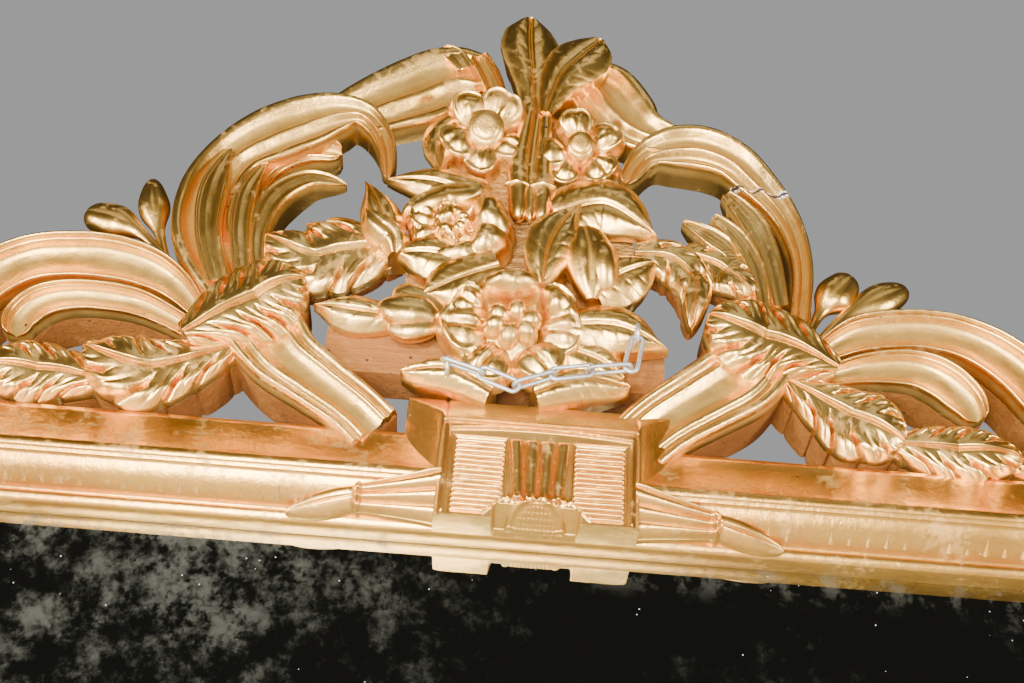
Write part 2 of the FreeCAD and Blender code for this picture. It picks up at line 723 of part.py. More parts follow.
# chain

def wire_loop(outline, normal, wire):
    """A closed loop of faceted wire; outline gives each centre and its outward direction."""
    sides = 6
    rings = []
    for centre, outward in outline:
        angles = [2 * math.pi * i / sides for i in range(sides)]
        rings.append([centre + outward * (wire * math.cos(a)) + normal * (wire * math.sin(a)) for a in angles])
    faces = []
    for i, a in enumerate(rings):
        b = rings[(i + 1) % len(rings)]
        for j in range(sides):
            k = (j + 1) % sides
            faces.append(flat_face([a[j], b[j], b[k]]))
            faces.append(flat_face([a[j], b[k], a[k]]))
    return closed_solid(faces)


def link(start, direction, across):
    """A long link whose first end wire is centred at start; across is its width direction."""
    bend = link_width / 2 - wire_radius
    straight = link_length - link_width
    outline = []
    steps = 4
    for end, turn in ((0, math.pi / 2), (1, -math.pi / 2)):
        centre = start + direction * (bend + straight * end)
        for i in range(steps + 1):
            angle = turn + math.pi * i / steps
            outward = direction * math.cos(angle) + across * math.sin(angle)
            outline.append((centre + outward * bend, outward))
    return wire_loop(outline, direction.cross(across), wire_radius)


def chain_span():
    """The links that hang across the crest, and where the two eyes' wires hold them."""
    left = Vector(crest_x + chain_left[0], -chain_forward, frame_height + chain_left[1])
    links = []
    far = left
    before = None
    for slope, turn in zip(chain_slopes, chain_turns):
        rise = math.radians(slope)
        spin = math.radians(turn)
        direction = Vector(math.cos(rise), 0, math.sin(rise))
        flat = Vector(-math.sin(rise), 0, math.cos(rise))
        # the wires cross on the middle line of whichever link stands upright
        start = far - (before or direction) * link_hook
        links.append(link(start, direction, flat * math.cos(spin) + Vector(0, -1, 0) * math.sin(spin)))
        far = start + direction * (link_length - 2 * wire_radius)
        before = direction if abs(turn) < 45 else None
    return links, left, far - direction * link_hook


def screw_eye(centre):
    """An upright ring on a screw that runs back from it, and the hole for that screw."""
    steps = 10
    outline = []
    for i in range(steps):
        angle = 2 * math.pi * i / steps
        outward = Vector(0, -math.cos(angle), math.sin(angle))
        outline.append((centre + outward * eye_radius, outward))
    ring = wire_loop(outline, Vector(1, 0, 0), wire_radius)
    neck = -centre.y - eye_radius
    end = neck - eye_screw_length
    grown = eye_shank_radius + fastener_clearance / 2
    shank = pin(centre.x, centre.z, end, neck, eye_shank_radius, eye_shank_radius)
    hole = pin(centre.x, centre.z, end - fastener_clearance, neck, grown, grown)
    return largest(ring.fuse(shank)), hole


def build_frame():
    pieces = carcass()
    grown = peg_radius + fastener_clearance / 2
    holes = [pin(x, z, 0, peg_length + 1, grown, grown) for x, z in corner_places()]
    nails = [nail(x, z, fastener_clearance / 2) for x, z in nail_places()]
    seats = [hanging_plate(x, z, seat_gap) for x, z in plate_places()]
    pockets = [bore(hanging_pocket_radius, x, z, 0, hanging_pocket_depth) for x, z in plate_places()]
    screws = [screw(x, z, fastener_clearance / 2) for x, z in plate_screw_places()]
    battens = {"left": -1, "right": 1}
    batten_places = [place for side in battens.values() for place in batten_screw_places(side)]
    batten_screws = [screw(x, z, fastener_clearance / 2) for x, z in batten_places]
    notches = [batten(side, seat_gap) for side in battens.values()]
    for name, rail in pieces.items():
        if name == "top_rail":
            rail = cut_all(rail, notches + batten_screws)
        if "stile" in name:
            rail = cut_all(rail, seats + pockets + screws)
        else:
            rail = cut_all(rail, nails)
        save(name, cut_all(rail, holes))
    save("corner_pegs", *[pin(x, z, 0.5, 0.5 + peg_length, peg_radius, peg_radius) for x, z in corner_places()])

    keys = mitre_keys()
    made = mouldings()
    for name, bar in made.items():
        save(name, cut_all(bar, keys))
    save("mitre_keys", *keys)
    save("mirror_glass", glass())
    save("glazing_blocks", *glazing_blocks())

    for i, (left, right) in enumerate(board_edges()):
        board = box(left, right, 0, board_thickness, board_margin, frame_height - board_margin)
        save("back_board_%d" % (i + 1), cut_all(board, nails))
    save("back_board_nails", *[nail(x, z) for x, z in nail_places()])

    plates = [hanging_plate(x, z) for x, z in plate_places()]
    bores = [bore(hanging_hole_radius, x, z, -1, plate_thickness + 1) for x, z in plate_places()]
    save("hanging_plates", *[cut_all(plate, bores + screws) for plate in plates])
    save("back_screws", *[screw(x, z) for x, z in plate_screw_places() + batten_places])
    for name, side in battens.items():
        save("crest_batten_" + name, cut_all(batten(side), batten_screws))
    save("crest_board", cut_all(crest_board(), batten_screws))
    return made["moulding_top"]


def build_crest(top_moulding):
    block = plain_block()
    fitted = cut_all(block, [top_moulding])
    save("centre_block", cut_all(largest(fitted), panel_ribs() + pleat_hollows()))
    save("block_medallion", medallion())
    for name, side in (("reed_ornament_left", -1), ("reed_ornament_right", 1)):
        save(name, largest(reed(side).cut(top_moulding).cut(block)))

    links, left, right = chain_span()
    right_centre = right + Vector(0, 0, eye_radius)
    left_eye, left_hole = screw_eye(left + Vector(0, eye_radius, 0))
    right_eye, right_hole = screw_eye(right_centre)
    save("chain_span", *links)
    save("chain_eyes", left_eye, right_eye)
    print("chain turns about", [round(v, 3) for v in left], "to", [round(v, 3) for v in right_centre])

    frame_top = box(-frame_half, frame_half, 0, relief_limit, frame_height - relief_limit, frame_height)
    tools = [frame_top, left_hole, right_hole, crest_board(), block, batten(-1, seat_gap), batten(1, seat_gap)]
    for group in (flowers(), cluster_leaves(), wing_leaves(), scrolls()):
        carve(group, tools)


build_crest(build_frame())
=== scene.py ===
import bpy
import math
import numpy as np
from mathutils import Matrix, Vector
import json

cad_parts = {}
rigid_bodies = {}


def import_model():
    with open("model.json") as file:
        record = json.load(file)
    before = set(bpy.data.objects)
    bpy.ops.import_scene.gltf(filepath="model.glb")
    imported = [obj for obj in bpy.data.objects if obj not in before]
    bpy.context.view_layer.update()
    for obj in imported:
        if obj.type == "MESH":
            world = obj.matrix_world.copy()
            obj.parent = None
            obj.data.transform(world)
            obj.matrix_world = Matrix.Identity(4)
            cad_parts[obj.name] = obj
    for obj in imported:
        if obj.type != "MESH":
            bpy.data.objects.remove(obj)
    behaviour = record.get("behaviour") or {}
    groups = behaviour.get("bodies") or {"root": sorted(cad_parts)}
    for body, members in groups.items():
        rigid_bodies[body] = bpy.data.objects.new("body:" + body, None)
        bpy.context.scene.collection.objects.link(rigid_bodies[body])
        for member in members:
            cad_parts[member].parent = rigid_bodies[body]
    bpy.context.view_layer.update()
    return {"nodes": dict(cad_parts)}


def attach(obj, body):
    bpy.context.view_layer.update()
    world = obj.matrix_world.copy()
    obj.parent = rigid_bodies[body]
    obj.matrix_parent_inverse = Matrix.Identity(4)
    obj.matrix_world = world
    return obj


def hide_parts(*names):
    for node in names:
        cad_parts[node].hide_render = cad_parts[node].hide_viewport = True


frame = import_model()

mm = 0.001
crestX = -16.0                      # crest axis, from the middle of the frame
frameTop = 1450.0
thin, thick = 30.0, 4.0             # backs of the upper and of the lower carving, from the frame's back


# camera and light

view = {"place": (-0.0105, -0.87415, 0.95542), "pitch": 35.0, "roll": 4.5, "focal": 1400.0,
        "imageWidth": 1024.0, "sensor": 36.0}


def makeCamera():
    pitch, roll = math.radians(view["pitch"]), math.radians(view["roll"])
    look = np.array([0.0, math.cos(pitch), math.sin(pitch)])
    right = np.array([1.0, 0.0, 0.0])
    up = np.cross(right, look)
    side = right * math.cos(roll) + up * math.sin(roll)
    top = -right * math.sin(roll) + up * math.cos(roll)
    data = bpy.data.cameras.new("camera")
    data.sensor_width = view["sensor"]
    data.lens = view["focal"] * view["sensor"] / view["imageWidth"]
    data.clip_start = 0.01
    camera = bpy.data.objects.new("camera", data)
    turn = Matrix([(side[i], top[i], -look[i]) for i in range(3)])
    camera.matrix_world = Matrix.Translation(view["place"]) @ turn.to_4x4()
    bpy.context.collection.objects.link(camera)
    bpy.context.scene.camera = camera


# place, target, size, power and colour of each lamp
lights = {
    "low front": ((-0.25, -1.55, 0.62), (0.0, -0.03, 1.52), (1.1, 0.3), 60.0, (1.0, 0.97, 0.93)),
    "low left": ((-1.5, -1.1, 1.0), (-0.1, -0.03, 1.55), (0.3, 0.5), 44.0, (1.0, 0.96, 0.9)),
    "low right": ((1.5, -1.1, 1.0), (0.1, -0.03, 1.55), (0.3, 0.5), 36.0, (1.0, 0.97, 0.94)),
    "high soft": ((0.3, -1.6, 3.3), (0.0, -0.03, 1.5), (1.2, 0.6), 3.5, (0.93, 0.96, 1.0)),
    "flash": ((-0.30, -1.50, 1.12), (0.0, -0.03, 1.58), (0.22, 0.18), 30.0, (1.0, 0.98, 0.95)),
    "back fill": ((0.6, 3.2, 1.2), (0.0, 0.0, 1.0), (1.6, 1.0), 9.0, (1.0, 0.98, 0.95)),
}


def makeLamp(name, place, target, size, power, colour):
    data = bpy.data.lights.new(name, "AREA")
    data.shape = "RECTANGLE"
    data.size, data.size_y = size
    data.energy = power
    data.color = colour
    lamp = bpy.data.objects.new(name, data)
    lamp.location = place
    lamp.rotation_mode = "QUATERNION"
    lamp.rotation_quaternion = Vector(np.array(target) - np.array(place)).to_track_quat("-Z", "Y")
    bpy.context.collection.objects.link(lamp)


# node trees

class Wire:
    # a socket that takes part in sums: each operator adds one maths node
    def __init__(self, tree, socket):
        self.tree, self.socket = tree, socket

    def math(self, operation, *others, flip=False):
        node = self.tree.nodes.new("ShaderNodeMath")
        node.operation = operation
        values = (self, *others)
        for slot, value in zip(node.inputs, values[::-1] if flip else values):
            connect(self.tree, slot, value)
        return Wire(self.tree, node.outputs[0])

    def __add__(self, other):
        return self.math("ADD", other)

    def __sub__(self, other):
        return self.math("SUBTRACT", other)

    def __rsub__(self, other):
        return self.math("SUBTRACT", other, flip=True)

    def __mul__(self, other):
        return self.math("MULTIPLY", other)

    __radd__ = __add__
    __rmul__ = __mul__

    def above(self, level):
        return self.math("GREATER_THAN", level)

    def below(self, level):
        return self.math("LESS_THAN", level)

    def atMost(self, level):
        return self.math("MINIMUM", level)

    def absolute(self):
        return self.math("ABSOLUTE")

    def ramp(self, low, high, fromValue=0.0, toValue=1.0):      # smooth step from low to high
        node = self.tree.nodes.new("ShaderNodeMapRange")
        node.interpolation_type = "SMOOTHSTEP"
        for slot, value in zip(node.inputs, (self, low, high, fromValue, toValue)):
            connect(self.tree, slot, value)
        return Wire(self.tree, node.outputs[0])


def connect(tree, slot, value):
    if isinstance(value, Wire):
        tree.links.new(value.socket, slot)
    elif isinstance(value, tuple) and len(value) == 3 and slot.type == "RGBA":
        slot.default_value = value + (1.0,)
    else:
        slot.default_value = value


class Tree:
    def __init__(self, tree):
        self.tree = tree

    def node(self, kind, *inputs, settings=None, output=0, **sockets):
        # any node; its inputs are given in order or by name, with _ for a space
        made = self.tree.nodes.new(kind)
        for key, value in (settings or {}).items():
            setattr(made, key, value)
        for slot, value in zip(made.inputs, inputs):
            connect(self.tree, slot, value)
        for key, value in sockets.items():
            connect(self.tree, made.inputs[key.replace("_", " ")], value)
        return Wire(self.tree, made.outputs[output])

    def split(self, vector):
        parts = self.node("ShaderNodeSeparateXYZ", vector).socket.node
        return [Wire(self.tree, socket) for socket in parts.outputs]


class Finish(Tree):
    def __init__(self, name):
        self.material = bpy.data.materials.new(name)
        self.material.use_nodes = True
        super().__init__(self.material.node_tree)
        self.shader = self.tree.nodes["Principled BSDF"]
        self.place = self.node("ShaderNodeTexCoord", output="Object")

    def noise(self, scale, detail=3.0, roughness=0.55, stretch=None):
        where = self.node("ShaderNodeMapping", Vector=self.place, Scale=stretch) if stretch else self.place
        return self.node("ShaderNodeTexNoise", Vector=where, Scale=scale, Detail=detail, Roughness=roughness)

    def dots(self, scale):
        return self.node("ShaderNodeTexVoronoi", Vector=self.place, Scale=scale)

    def blend(self, factor, first, second):
        made = self.node("ShaderNodeMix", settings={"data_type": "RGBA", "clamp_factor": True}, output=2)
        slots = made.socket.node.inputs
        for slot, value in zip((slots[0], slots[6], slots[7]), (factor, first, second)):
            connect(self.tree, slot, value)
        return made

    def bump(self, height, distance, strength=1.0):
        return self.node("ShaderNodeBump", Height=height, Distance=distance, Strength=strength)

    def set(self, **sockets):
        for key, value in sockets.items():
            connect(self.tree, self.shader.inputs[key.replace("_", " ")], value)
        return self.material


# finishes

goldTones = {"bright": ((1.0, 0.625, 0.165), (0.92, 0.51, 0.105)),
             "rubbed": ((1.0, 0.55, 0.125), (0.90, 0.44, 0.09)),
             "moulding": ((1.0, 0.53, 0.105), (0.88, 0.42, 0.08))}
# the hollow colour is painted shade together with toning and dirt; the others are wear, bole, gesso and wormholes
goldWearAndShade = {"hollow": (0.36, 0.215, 0.026), "cloud": (0.62, 0.38, 0.12), "bole": (0.46, 0.225, 0.05),
            "gesso": (0.78, 0.66, 0.54), "wormhole": (0.012, 0.008, 0.006)}
crackLine = {"height": 1.6915, "x": 0.150, "fall": 0.10, "start": 0.117}


def goldFinish(name, tones, recess=0.0, crack=False):
    # leaf gold over orange bole on gesso; the attribute relief is 0 in the hollows and 1 on the crowns, and low
    # relief darkens the gold: toning and dirt in the hollows, and painted shade
    f = Finish(name)
    relief = f.node("ShaderNodeAttribute", settings={"attribute_name": "relief"}, output=2)
    cloudy = f.noise(9.0, 4.0, 0.6)
    patches = f.noise(30.0, 5.0, 0.62)
    fine = f.noise(170.0, 4.0, 0.6)
    grain = f.noise(640.0, 3.0, 0.6)
    bright = f.blend(cloudy.ramp(0.38, 0.66), *goldTones[tones])
    leaf = f.blend((patches * 0.6 + fine * 0.4).ramp(0.44, 0.64) * 0.55, bright, goldWearAndShade["cloud"])
    # painted shade with toning and dirt: the gold darkens towards the hollow colour where the relief is low
    hollow = (1.0 - relief).ramp(0.45, 1.0) * (0.4 + 0.6 * patches.ramp(0.38, 0.6))
    tonedAndShaded = f.blend(hollow * (0.48 + recess), leaf, goldWearAndShade["hollow"])
    worn = (patches * 0.6 + fine * 0.42 + relief * 0.07).ramp(0.60, 0.70)
    bole = f.blend(worn * 0.5, tonedAndShaded, goldWearAndShade["bole"])
    chips = (f.noise(48.0, 6.0, 0.7) + fine * 0.25).ramp(0.855, 0.872)
    gesso = f.blend(chips * 0.8, bole, goldWearAndShade["gesso"])
    worms = f.dots(30.0).below(0.040) * f.noise(7.0, 1.0).above(0.52)
    colour = f.blend(worms, gesso, goldWearAndShade["wormhole"])
    metal = (1.0 - worn * 0.35 - hollow * 0.2) * (1.0 - chips) * (1.0 - worms)
    rough = 0.22 + patches * 0.13 + hollow * 0.14 + worn * 0.12 + chips * 0.3 + fine * 0.06
    height = patches * 0.42 + fine * 0.34 + grain * 0.10 - worms * 0.6 - chips * 0.2
    if crack:
        x, y, z = f.split(f.place)
        wander = (f.noise(70.0, 4.0, 0.7) - 0.5) * 0.010
        line = (z - crackLine["height"] + (x - crackLine["x"]) * crackLine["fall"] + wander).absolute()
        gap = line.ramp(0.0006, 0.0013, 1.0, 0.0) * x.above(crackLine["start"])
        lips = (line.ramp(0.0013, 0.0030, 1.0, 0.0) * x.above(crackLine["start"] - 0.004)
                * f.noise(130.0).ramp(0.42, 0.55))
        colour = f.blend(gap, f.blend(lips, colour, (0.85, 0.78, 0.70)), (0.03, 0.02, 0.015))
        metal = metal * (1.0 - lips) * (1.0 - gap)
        height = height - gap * 1.2
    return f.set(Base_Color=colour, Metallic=metal, Roughness=rough, Normal=f.bump(height, 0.0012, 0.8))


def ochreFinish(name, gildedFrom=None):
    # the sawn sides and undersides of the carving, washed with ochre and dusty
    f = Finish(name)
    saw = f.noise(60.0, 4.0, 0.6, (0.5, 0.35, 3.0))
    rough = f.noise(140.0, 6.0, 0.72)
    blotch = f.noise(14.0, 4.0, 0.6)
    wash = f.blend(blotch.ramp(0.3, 0.7), (0.235, 0.078, 0.010), (0.31, 0.115, 0.017))
    rubbed = f.blend((rough * 0.6 + saw * 0.5).ramp(0.56, 0.72) * 0.6, wash, (0.38, 0.165, 0.034))
    dark = f.blend((1.0 - saw).ramp(0.58, 0.78) * 0.6, rubbed, (0.10, 0.034, 0.012))
    pits = f.dots(70.0).below(0.09) * rough.above(0.52)
    colour = f.blend(pits, dark, (0.05, 0.02, 0.01))
    height = rough * 0.7 + saw * 0.8 - pits * 0.6
    if gildedFrom is None:
        return f.set(Base_Color=colour, Roughness=0.72 + rough * 0.22, Normal=f.bump(height, 0.0030),
                     Specular_IOR_Level=0.28)
    # the board behind the flowers is gilded, the part below them isn't; its gilt is darker than the carving's gold,
    # which is painted shade behind the flowers
    x, y, z = f.split(f.place)
    leaf = (z + blotch * 0.02).ramp(gildedFrom, gildedFrom + 0.012)
    giltWithPaintedShade = f.blend(blotch.ramp(0.35, 0.65), (0.46, 0.24, 0.07), (0.66, 0.38, 0.12))
    return f.set(Base_Color=f.blend(leaf, colour, giltWithPaintedShade), Roughness=0.74 + rough * 0.2 - leaf * 0.4,
                 Metallic=leaf * 0.85, Normal=f.bump(height, 0.0026))


def pineFinish(name, tone, upright):
    # bare old pine: rings and streaks stretched along the board, and dust
    f = Finish(name)
    rings = f.node("ShaderNodeTexWave", settings={"bands_direction": "X" if upright else "Z"}, Vector=f.place,
                   Scale=9.0, Distortion=6.5, Detail=3.0, Detail_Scale=0.6)
    streak = f.noise(7.0, 5.0, 0.65, (14.0, 14.0, 1.0) if upright else (1.0, 14.0, 14.0))
    stain = f.noise(2.6, 4.0, 0.6)
    base = f.blend(rings.ramp(0.1, 0.9) * 0.35, tone, tuple(c * 0.62 for c in tone))
    streaked = f.blend(streak.ramp(0.45, 0.7) * 0.6, base, tuple(c * 0.42 for c in tone))
    colour = f.blend(stain.ramp(0.5, 0.72) * 0.5, streaked, (0.09, 0.06, 0.04))
    return f.set(Base_Color=colour, Roughness=0.68 + streak * 0.2, Specular_IOR_Level=0.3,
                 Normal=f.bump(rings * 0.12 + streak * 0.8, 0.0008, 0.6))


def ironFinish():
    f = Finish("dark wrought iron")
    rust = f.noise(55.0, 6.0, 0.7)
    scale = f.noise(240.0, 4.0, 0.6)
    colour = f.blend(rust.ramp(0.48, 0.66), (0.055, 0.05, 0.047), (0.21, 0.085, 0.035))
    return f.set(Base_Color=colour, Metallic=1.0 - rust.ramp(0.46, 0.64) * 0.85, Roughness=0.5 + scale * 0.3,
                 Normal=f.bump(rust * 0.6 + scale * 0.4, 0.0006, 0.8))


def zincFinish():
    f = Finish("dull zinc wire")
    spangle = f.noise(260.0, 4.0, 0.6)
    dirt = f.noise(75.0, 5.0, 0.7)
    colour = f.blend(dirt.ramp(0.46, 0.70) * 0.7, (0.66, 0.67, 0.68), (0.30, 0.29, 0.27))
    return f.set(Base_Color=colour, Metallic=0.9, Roughness=0.33 + spangle * 0.25 + dirt * 0.1,
                 Normal=f.bump(spangle, 0.00025, 0.6))


def mirrorFinish():
    # old silvering: dark, slightly green, clouded with foxing and pin-pricked with white
    f = Finish("foxed mirror")
    x, y, z = f.split(f.place)
    edge = (0.518 - x.absolute()).atMost(1.378 - z).atMost(z - 0.072)
    cloud = f.noise(5.5, 6.0, 0.62)
    mottle = f.noise(34.0, 6.0, 0.75)
    speck = f.noise(210.0, 3.0, 0.6)
    left = x.ramp(-0.55, 0.15, 1.0, 0.25)
    clouds = (cloud * 0.62 + mottle * 0.42).ramp(0.50, 0.66) * (mottle * 0.7 + speck * 0.5).ramp(0.5, 0.72)
    rim = edge.ramp(0.0, 0.03, 1.0, 0.0) * mottle.ramp(0.5, 0.62) * 0.4
    foxing = (clouds * left + rim).atMost(1.0) * 0.7
    pricks = f.dots(105.0).below(0.050) * f.noise(23.0).above(0.52)
    stars = f.dots(36.0).below(0.020) * mottle.above(0.5)
    white = (pricks + stars).atMost(1.0)
    glass = f.blend(foxing * 0.85, (0.36, 0.38, 0.31), (0.035, 0.040, 0.045))
    colour = f.blend(white * 0.8, glass, (0.42, 0.43, 0.42))
    return f.set(Base_Color=colour, Metallic=1.0 - foxing * 0.35 - white * 0.9, Roughness=0.03 + foxing * 0.09,
                 Normal=f.bump(mottle * 0.2, 0.0001, 0.3))


gold = goldFinish("burnished gold leaf", "bright")
# the block and reeds: a more orange rubbed tone, with more toning and painted shade in the hollows
goldRecess = goldFinish("rubbed gold leaf", "rubbed", 0.25)
goldMoulding = goldFinish("gold leaf on the moulding", "moulding")
goldCracked = goldFinish("gold leaf with a crack", "bright", crack=True)
ochre = ochreFinish("sawn ochre sides")
ochreBoard = ochreFinish("crest board, gilded above", 1.585)
pine = pineFinish("old pine upright", (0.46, 0.30, 0.17), True)
pineAcross = pineFinish("old pine across", (0.44, 0.28, 0.15), False)
iron = ironFinish()
zinc = zincFinish()
foxedMirror = mirrorFinish()
print("finishes made")


# meshes

def addMesh(name, mesh, nodes, body="frame"):
    piece = bpy.data.objects.new(name, mesh)
    bpy.context.collection.objects.link(piece)
    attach(piece, body)
    if nodes:
        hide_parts(*nodes)


def setRelief(mesh, values):
    mesh.attributes.new("relief", "FLOAT", "POINT").data.foreach_set("value", np.asarray(values, float))


def addPiece(name, vertices, faces, materials, nodes, materialOf=None, relief=None):
    mesh = bpy.data.meshes.new(name)
    mesh.from_pydata((np.asarray(vertices) * mm).tolist(), [], faces)
    mesh.polygons.foreach_set("use_smooth", [True] * len(mesh.polygons))
    if materialOf is not None:
        mesh.polygons.foreach_set("material_index", materialOf)
    if relief is not None:
        setRelief(mesh, relief)
    for material in materials:
        mesh.materials.append(material)
    mesh.validate()
    mesh.update()
    mesh.set_sharp_from_angle(angle=math.radians(48))
    addMesh(name, mesh, nodes)


def catmull(values, at):                                 # smooth curve through values, read at fractional indices
    values = np.array(values, float)
    last = len(values) - 1
    k = np.clip(at.astype(int), 0, last - 1)
    f = (at - k).reshape((-1,) + (1,) * (values.ndim - 1))
    p0, p1 = values[np.maximum(k - 1, 0)], values[k]
    p2, p3 = values[k + 1], values[np.minimum(k + 2, last)]
    return 0.5 * (2 * p1 + (p2 - p0) * f + (2 * p0 - 5 * p1 + 4 * p2 - p3) * f ** 2
                  + (3 * p1 - p0 - 3 * p2 + p3) * f ** 3)


def pathFrame(path, stations):
    # the path through (x, z, width) points, with its direction and normal at each station
    line = catmull(path, np.linspace(0, 1, stations) * (len(path) - 1))
    run = np.gradient(line[:, :2], axis=0)
    run /= np.linalg.norm(run, axis=1)[:, None]
    return line, run, np.stack([-run[:, 1], run[:, 0]], -1)


def crestPoints(x, forward, z):
    return np.stack([crestX + x, -forward, frameTop + z], -1)


def ripple(x, z, size, seed):                            # gentle unevenness from the carver's hand
    phase = np.random.default_rng(seed).uniform(0, 6.28, (4, 3))
    wave = np.zeros(x.shape)
    for i, scale in enumerate((0.045, 0.083, 0.15, 0.27)):
        wave += np.sin(x * scale + phase[i, 0]) * np.sin(z * scale + phase[i, 1]) / (i + 1)
    return wave * size


def step(x, low, high):
    t = np.clip((x - low) / (high - low), 0, 1)
    return t * t * (3 - 2 * t)


def bell(x, width):
    return np.exp(-(x / width) ** 2)


def around(sides):
    return np.arange(sides) * 2 * math.pi / sides


def ringFaces(rings, sides):
    return [(k * sides + i, k * sides + (i + 1) % sides, (k + 1) * sides + (i + 1) % sides, (k + 1) * sides + i)
            for k in range(rings - 1) for i in range(sides)]


def capFaces(hub, start, sides, flip=False):
    pairs = [(start + i, start + (i + 1) % sides) for i in range(sides)]
    return [(hub, b, a) if flip else (hub, a, b) for a, b in pairs]


bloomGrid = {"rings": 46, "sides": 170, "probes": 130, "margin": 3.0, "rimDrop": 4.0, "skirt": 0.74,
             "floor": 6.0, "unevenness": 0.5}
bare = -99.0                                             # where a bloom has no petal


class Carving:
    # gathers closed shells for one piece; material 0 is gold and 1 the sawn ochre wood
    def __init__(self):
        self.points, self.faces, self.finish, self.relief, self.count = [], [], [], [], 0

    def add(self, points, faces, finish, relief):
        fans = [(f[0], f[i], f[i + 1]) for f in faces for i in range(1, len(f) - 1)]
        a, b, c = points[np.array(fans).T]
        if np.einsum("ij,ij->i", a, np.cross(b, c)).sum() < 0:
            faces = [face[::-1] for face in faces]       # the walls have to face outwards
        self.points.append(points)
        self.relief.append(relief)
        self.faces += [tuple(i + self.count for i in face) for face in faces]
        self.finish += finish
        self.count += len(points)

    def make(self, name, finish=None, nodes=None):
        addPiece(name + "_carved", np.concatenate(self.points), self.faces, [finish or gold, ochre],
                 nodes or [name], self.finish, np.concatenate(self.relief))

    def slab(self, grid, heights, share, back, goldDepth=7.0, taper=0.95, wallFinish=1, thinning=0.0):
        # grid is rows x columns of (x, z); the walls run back from its rim, gold first and then wallFinish
        rows, columns = heights.shape
        last = columns - 1
        front = crestPoints(grid[..., 0], heights, grid[..., 1])
        index = np.arange(rows * columns).reshape(rows, columns)
        faces = [(index[i, j], index[i, j + 1], index[i + 1, j + 1], index[i + 1, j])
                 for i in range(rows - 1) for j in range(last)]
        finish = [0] * len(faces)
        rim = [*index[0], *index[1:, -1], *index[-1, -2::-1], *index[-2:0:-1, 0]]
        rowOf = np.array([0] * columns + [*range(1, rows)] + [rows - 1] * last + [*range(rows - 2, 0, -1)])
        edge = front.reshape(-1, 3)[rim]
        middle = (front[:, 0] + front[:, -1])[rowOf] / 2
        level = (back + thinning * (heights.min(1) - 5.0 - back))[rowOf]
        points, relief = [front.reshape(-1, 3)], [share.ravel()]
        previous, count = rim, rows * columns
        for depth, scale, material in ((goldDepth, 1.0, 0), (None, taper, wallFinish)):
            ring = edge.copy()
            ring[:, 1] = -level if depth is None else np.minimum(ring[:, 1] + depth, -level)
            ring[:, [0, 2]] = middle[:, [0, 2]] + (edge[:, [0, 2]] - middle[:, [0, 2]]) * scale
            new = list(range(count, count + len(rim)))
            for a in range(len(rim)):
                b = (a + 1) % len(rim)
                faces.append((previous[a], new[a], new[b], previous[b]))
            finish += [material] * len(rim)
            points.append(ring)
            relief.append(np.full(len(rim), 0.5))
            previous = new
            count += len(rim)
        # the flat back follows the rows, so a bent piece isn't bridged
        right = [last + i for i in range(rows)]
        left = [0] + [len(rim) - i for i in range(1, rows - 1)] + [2 * last + rows - 1]
        for i in range(rows - 1):
            corner = [left[i], left[i + 1], right[i + 1], right[i]]
            if i == 0:
                corner += list(range(last - 1, 0, -1))
            if i == rows - 2:
                corner = corner[:2] + list(range(left[i + 1] - 1, right[i + 1], -1)) + corner[2:]
            faces.append(tuple(previous[k] for k in corner))
        finish += [wallFinish] * (rows - 1)
        self.add(np.concatenate(points), faces, finish, np.concatenate(relief))

    def shell(self, layers, relief, hubRelief):
        # rings of points closed by a middle point at the first ring, and at the last if there are two hubs
        sides, count = len(layers[0]), len(layers) * len(layers[0])
        faces = ringFaces(len(layers), sides) + capFaces(count, 0, sides, True)
        hubs = [layers[0].mean(0)]
        if len(hubRelief) == 2:
            faces += capFaces(count + 1, count - sides, sides)
            hubs.append(layers[-1].mean(0))
        self.add(np.concatenate(layers + [hubs]), faces, [0] * len(faces), np.concatenate(relief + [hubRelief]))

    def dome(self, centre, forward, radii, height, turn=0.0, rings=7, sides=20, tilt=(0.0, 0.0), crease=0.0,
             power=2.0, base=3.0):
        # a rounded pillow: petals, buttons, stamens; tilt leans it towards +x or +z
        angles = around(sides)
        layers, relief = [], [np.zeros(sides)]
        for k in range(rings + 1):
            share = 1 - k / rings
            reach = np.sin(share * math.pi / 2) ** 0.9 if share > 0 else 0.0
            a, b = radii[0] * reach * np.cos(angles), radii[1] * reach * np.sin(angles)
            x = a * math.cos(turn) - b * math.sin(turn)
            z = a * math.sin(turn) + b * math.cos(turn)
            lift = height * (1 - reach ** power) - crease * height * bell(b, radii[1] * 0.16) * (1 - reach ** 2)
            layers.append(crestPoints(centre[0] + x, forward + lift + tilt[0] * x + tilt[1] * z, centre[1] + z))
            relief.append(np.full(sides, 0.25 + 0.75 * (1 - reach) if k else 0.1))
        self.shell([layers[0] + np.array([0, base, 0])] + layers, relief, [0.0])

    def bloom(self, centre, petals, back, base, droop):
